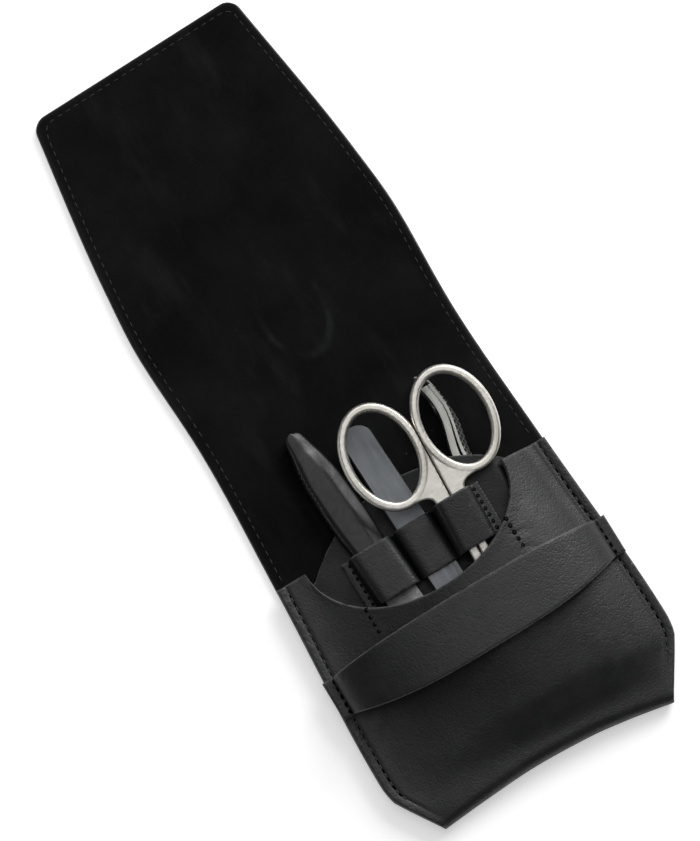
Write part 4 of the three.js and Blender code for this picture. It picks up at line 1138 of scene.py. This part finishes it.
TWEEZERS_LENGTH = 84
TWEEZERS_ROUND = 3.7
ARM_BOW = 0.85
ARM_SHARES = [(0, 0), (0.06, 0), (0.3, 0.7), (0.5, 1), (0.8, 1), (1, 0.9)]
ARM_WIDTH_SHARES = [(0.12, 0.96), (0.45, 1), (0.6, 0.96), (0.8, 0.72)]
ARM_GAP = 0.15
TIP_SLANT = 1.4
arm_bow = curve_through([(TWEEZERS_LENGTH * down, ARM_BOW * out) for down, out in ARM_SHARES])
arm_half = curve_through(
    [(TWEEZERS_ROUND, 3.95)]
    + [(TWEEZERS_LENGTH * down, ARM_HALF * out) for down, out in ARM_WIDTH_SHARES]
    + [(TWEEZERS_LENGTH, 1.4)]
)


def arm_ring(down, facing):
    out = 1 - min(1, down / TWEEZERS_ROUND)
    side = arm_half(max(down, TWEEZERS_ROUND)) - TWEEZERS_ROUND * (1 - math.sqrt(1 - out * out))
    near = TOOL_THICK / 2 + facing * (ARM_GAP + arm_bow(down))
    far = near + facing
    low = TIP_SLANT - down if down == TWEEZERS_LENGTH else -down
    chamfer = min(0.2, side / 3)
    depth = facing * chamfer
    return [
        (-side + chamfer, -down, near), (side - chamfer, low, near), (side, low, near + depth),
        (side, low, far - depth), (side - chamfer, low, far), (-side + chamfer, -down, far),
        (-side, -down, far - depth), (-side, -down, near + depth),
    ]


def tweezers_arm(name, facing):
    downs = [TWEEZERS_ROUND * (1 - math.cos(k / 14 * math.pi / 2)) for k in range(15)]
    downs += [mix(TWEEZERS_ROUND, TWEEZERS_LENGTH, k / 40) for k in range(1, 41)]
    return lofted(name, [arm_ring(down, facing) for down in downs], TWEEZERS_FRAME)


# A finger ring's section: (out from the middle of the band, up from its middle plane)
BEVELLED_SECTION = [
    (1.22, -0.1), (1.12, 0.42), (0.92, 0.84), (0.68, 1.14), (0.56, 1.19), (-0.56, 1.19),
    (-0.68, 1.14), (-0.92, 0.84), (-1.12, 0.42), (-1.22, -0.1), (-1.1, -0.6), (-0.7, -1.1),
    (0.7, -1.1), (1.1, -0.6),
]
RING_MIDDLE = (9.1, 12.95)
RING_PLACE = (10.05, 44.6, 1.225)
RING_STEPS = 120
RING_SPACE = 0.15


def sunk_at(y):
    """How far a ring's top drops to run into the web."""
    return 0.2 * eased((42 - y) / 9)


def ring_part(side):
    points = []
    half_x, half_y = RING_MIDDLE
    for cosine, sine in circle(RING_STEPS):
        out_x, out_y = cosine / half_x, sine / half_y
        length = math.hypot(out_x, out_y)
        for out, up in BEVELLED_SECTION:
            x = RING_PLACE[0] + half_x * cosine + out * out_x / length
            y = RING_PLACE[1] + half_y * sine + out * out_y / length
            top = RING_PLACE[2] + up - (sunk_at(y) if up > 1 else 0)
            points.append((side * max(RING_SPACE, x), y, top))
    faces = tube_faces(RING_STEPS, len(BEVELLED_SECTION), looped=True)
    return SCISSORS_FRAME.to_case(points), [face[::-side] for face in faces]


def under_bevels(points, side):
    """Lowers a half's own ring under the bevelled one."""
    x, y, z = points.T.copy()
    off_x, off_y = side * x - RING_PLACE[0], y - RING_PLACE[1]
    half_x, half_y = RING_MIDDLE
    level = np.hypot(off_x / half_x, off_y / half_y)
    slope = np.hypot(off_x / half_x ** 2, off_y / half_y ** 2) + 1e-9
    out = np.abs(level - 1) * level / slope
    outs, ups = zip(*sorted(BEVELLED_SECTION[:5]))
    highest = RING_PLACE[2] + np.interp(out, outs, ups) - 0.03 - sunk_at(y)
    on_ring = (out < outs[-1]) & (np.abs(z - RING_PLACE[2]) > 0.97)
    low = on_ring & (z > highest)
    z[low] = highest[low]
    return np.stack([x, y, z], axis=1)


def copy_of(node, name):
    piece = linked(name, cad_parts[node].data.copy())
    return edited(piece, lambda work: bmesh.ops.remove_doubles(work, verts=work.verts, dist=1e-6))


def baked(piece):
    """Applies the piece's modifiers."""
    bpy.context.view_layer.update()
    graph = bpy.context.evaluated_depsgraph_get()
    piece.data = bpy.data.meshes.new_from_object(piece.evaluated_get(graph))
    piece.modifiers.clear()
    return piece


def rounded_copy(piece, voxel, passes):
    """Remakes a new piece with finer faces and its edges rounded off."""
    remesh = piece.modifiers.new("remesh", "REMESH")
    remesh.mode = "VOXEL"
    remesh.voxel_size = voxel * MM
    remesh.use_smooth_shade = True
    ease = piece.modifiers.new("ease", "SMOOTH")
    ease.factor = 0.5
    ease.iterations = passes
    return baked(piece)


def bevelled(piece, width):
    bevel = piece.modifiers.new("bevel", "BEVEL")
    bevel.width = width * MM
    bevel.segments = 3
    bevel.limit_method = "ANGLE"
    bevel.angle_limit = BEVEL_ANGLE
    mesh = baked(piece).data
    mesh.polygons.foreach_set("use_smooth", [True] * len(mesh.polygons))
    mesh.set_sharp_from_angle(angle=SHARP_ANGLE)
    return piece


def scissors_half(node, name, side):
    """A half of the scissors with its finger ring's flanks bevelled."""
    piece = copy_of(node, name)
    reshaped(piece, SCISSORS_FRAME, lambda points: under_bevels(points, side))
    ring = mesh_piece(name + "_ring", *ring_part(side))
    edited(piece, lambda work: work.from_mesh(ring.data))
    bpy.data.objects.remove(ring)
    return rounded_copy(piece, 0.17, 5)


BOW = 1.34
BOW_TROUGH = -20.9
BOW_HALF_WAVE = 15


def clipper_line(y):
    """The leaves' bowed middle line at heights from the rear end, which is level with zero."""
    y = np.minimum(y, 0)
    back = BOW_TROUGH - 0.8 * BOW_HALF_WAVE
    wave = BOW * np.cos((y + 5.9) / BOW_HALF_WAVE * math.pi)
    fall = -BOW * eased((y - back) / (BOW_TROUGH - back))
    return np.where(y > BOW_TROUGH, wave, fall)


def leaf_gap(y):
    """Half the space between the leaves, which part towards the jaws."""
    return 0.125 + 1.375 * np.clip((-11 - y) / 32, 0, 1) ** 1.2


def leaf_shape(points, inner, outer):
    """Sets a leaf's two faces from its middle line, where it can be seen."""
    x, y, z = points.T.copy()
    line, gap = clipper_line(y), leaf_gap(y)
    through = (np.abs(x - line) - gap) / LEAF_THICK
    parting = 0.037 * np.clip(-4 - y, 0, None) if outer > 0 else 0
    set_off = mix(inner - gap * 0.6 + parting, np.sign(outer) * gap + outer, through)
    return np.stack([x + (line + set_off - x) * eased((y + 26) / 6), y, z], axis=1)


def lever_shape(points):
    """Leans the lever's thumb face outward along its length."""
    x, y, z = points.T.copy()
    seen = eased((y + 27) / 6) * (1 - eased(y / 3.4))
    outside = np.clip((x - clipper_line(y) - leaf_gap(y) - 1.15) / 0.8, 0, 1)
    width = 0.08 + 0.82 * eased((-2 - y) / 11)
    x += seen * (0.35 + outside * (1.75 * width * (1 - z / CLIPPER_WIDTH) - 0.35))
    return np.stack([x, y, z], axis=1)


def leaf(node, name, inner, outer):
    piece = copy_of(node, name)
    reshaped(piece, CLIPPER_FRAME, lambda points: leaf_shape(points, inner, outer))
    return bevelled(piece, 0.14)


def thumb_lever():
    piece = reshaped(copy_of("clipper_lever", "thumb_lever"), CLIPPER_FRAME, lever_shape)
    rounded_copy(piece, 0.16, 2)
    x, y, z = CLIPPER_FRAME.to_tool(places_of(piece)).T
    return marked(piece, "knurl", eased((y + 26) / 2) * eased((-0.5 - y) / 1.5))


def bevelled_copy(node, name, width):
    return bevelled(copy_of(node, name), width)


placed(handle(), HANDLE_SKIN, "black_plastic", "file", "file_handle")
placed(bevelled_copy("file_blade", "file_grit_blade", 0.12), GRIT, "file_steel", "file",
       "file_blade")
for name, facing, body, node in [
    ("tweezers_back", -1, "tweezers", "tweezers_back_arm"),
    ("tweezers_front_leaf", 1, "tweezers_front", "tweezers_front_arm"),
]:
    placed(tweezers_arm(name, facing), TWEEZER_STEEL, "tweezer_steel", body, node)
for side, sign in (("left", -1), ("right", 1)):
    node = f"scissors_{side}_half"
    placed(scissors_half(node, f"{side}_half", sign), NICKEL, "nickel", f"scissors_{side}", node)
placed(bevelled_copy("scissors_screw", "pivot_screw", 0.08), NICKEL, "nickel", "scissors",
       "scissors_screw")
for node, name, inner, outer, body in [
    ("clipper_lower_leaf", "lower_leaf", 0.8, -0.85, "clipper"),
    ("clipper_upper_leaf", "upper_leaf", 0.88, 1.6, "clipper_upper"),
]:
    placed(leaf(node, name, inner, outer), CLIPPER_STEEL, "clipper_steel", body, node)
placed(thumb_lever(), LEVER_STEEL, "clipper_steel", "lever", "clipper_lever")
for node, name in [
    ("clipper_rivet", "rear_rivet"), ("clipper_post", "lever_post"), ("clipper_pin", "lever_pin"),
]:
    placed(bevelled_copy(node, name, 0.12), CLIPPER_STEEL, "clipper_steel", "clipper", node)

# -------- floor, world, lamps
FLOOR_GLOW = 0.46
WORLD_LEVEL = 0.12
FLOOR_HEIGHT = -0.05

floor = mesh_piece(
    "floor",
    [(x, y, FLOOR_HEIGHT) for x, y in [(-1500, -1400), (1500, -1400), (1500, 1600), (-1500, 1600)]],
    [(0, 1, 2, 3)],
    shade_smooth=False,
)
floor_white, g = new_material("floor_white", (0.86, 0.86, 0.86), 0.9, specular=0.0)
g.shader.inputs["Emission Color"].default_value = (1, 1, 1, 1)
rays = g.add("ShaderNodeLightPath")
shiny = g.maths("MAXIMUM", rays["Is Glossy Ray"], rays["Is Transmission Ray"])
seen = g.maths("MAXIMUM", rays["Is Camera Ray"], shiny)
g.feed("Emission Strength", g.times(seen, FLOOR_GLOW))
floor.data.materials.append(floor_white)

world = bpy.data.worlds.new("studio")
bpy.context.scene.world = world
world.use_nodes = True
g = Graph(world.node_tree)
g.shader = g.tree.nodes["Background"]
g.shader.inputs["Color"].default_value = (1, 1, 1, 1)
rays = g.add("ShaderNodeLightPath")
seen = g.maths("MAXIMUM", rays["Is Camera Ray"], rays["Is Transmission Ray"])
g.feed("Strength", g.span(seen, 0, 1, WORLD_LEVEL, 1))

for name, place, (width, depth), watts in [
    ("key_lamp", (0.9, 0.55, 0.64), (0.8, 0.7), 13.5),
    ("back_lamp", (0.2, 0.8, 1.0), (1.3, 1.0), 3.9),
    ("top_lamp", (0.1, 0.12, 1.3), (0.7, 0.7), 2.1),
]:
    light = linked(name, bpy.data.lights.new(name, "AREA"))
    light.data.shape = "RECTANGLE"
    light.data.size, light.data.size_y = width, depth
    light.data.energy = watts
    light.location = place
    light.rotation_euler = Vector(place).to_track_quat("Z", "Y").to_euler()

bpy.context.scene.view_settings.view_transform = "Standard"
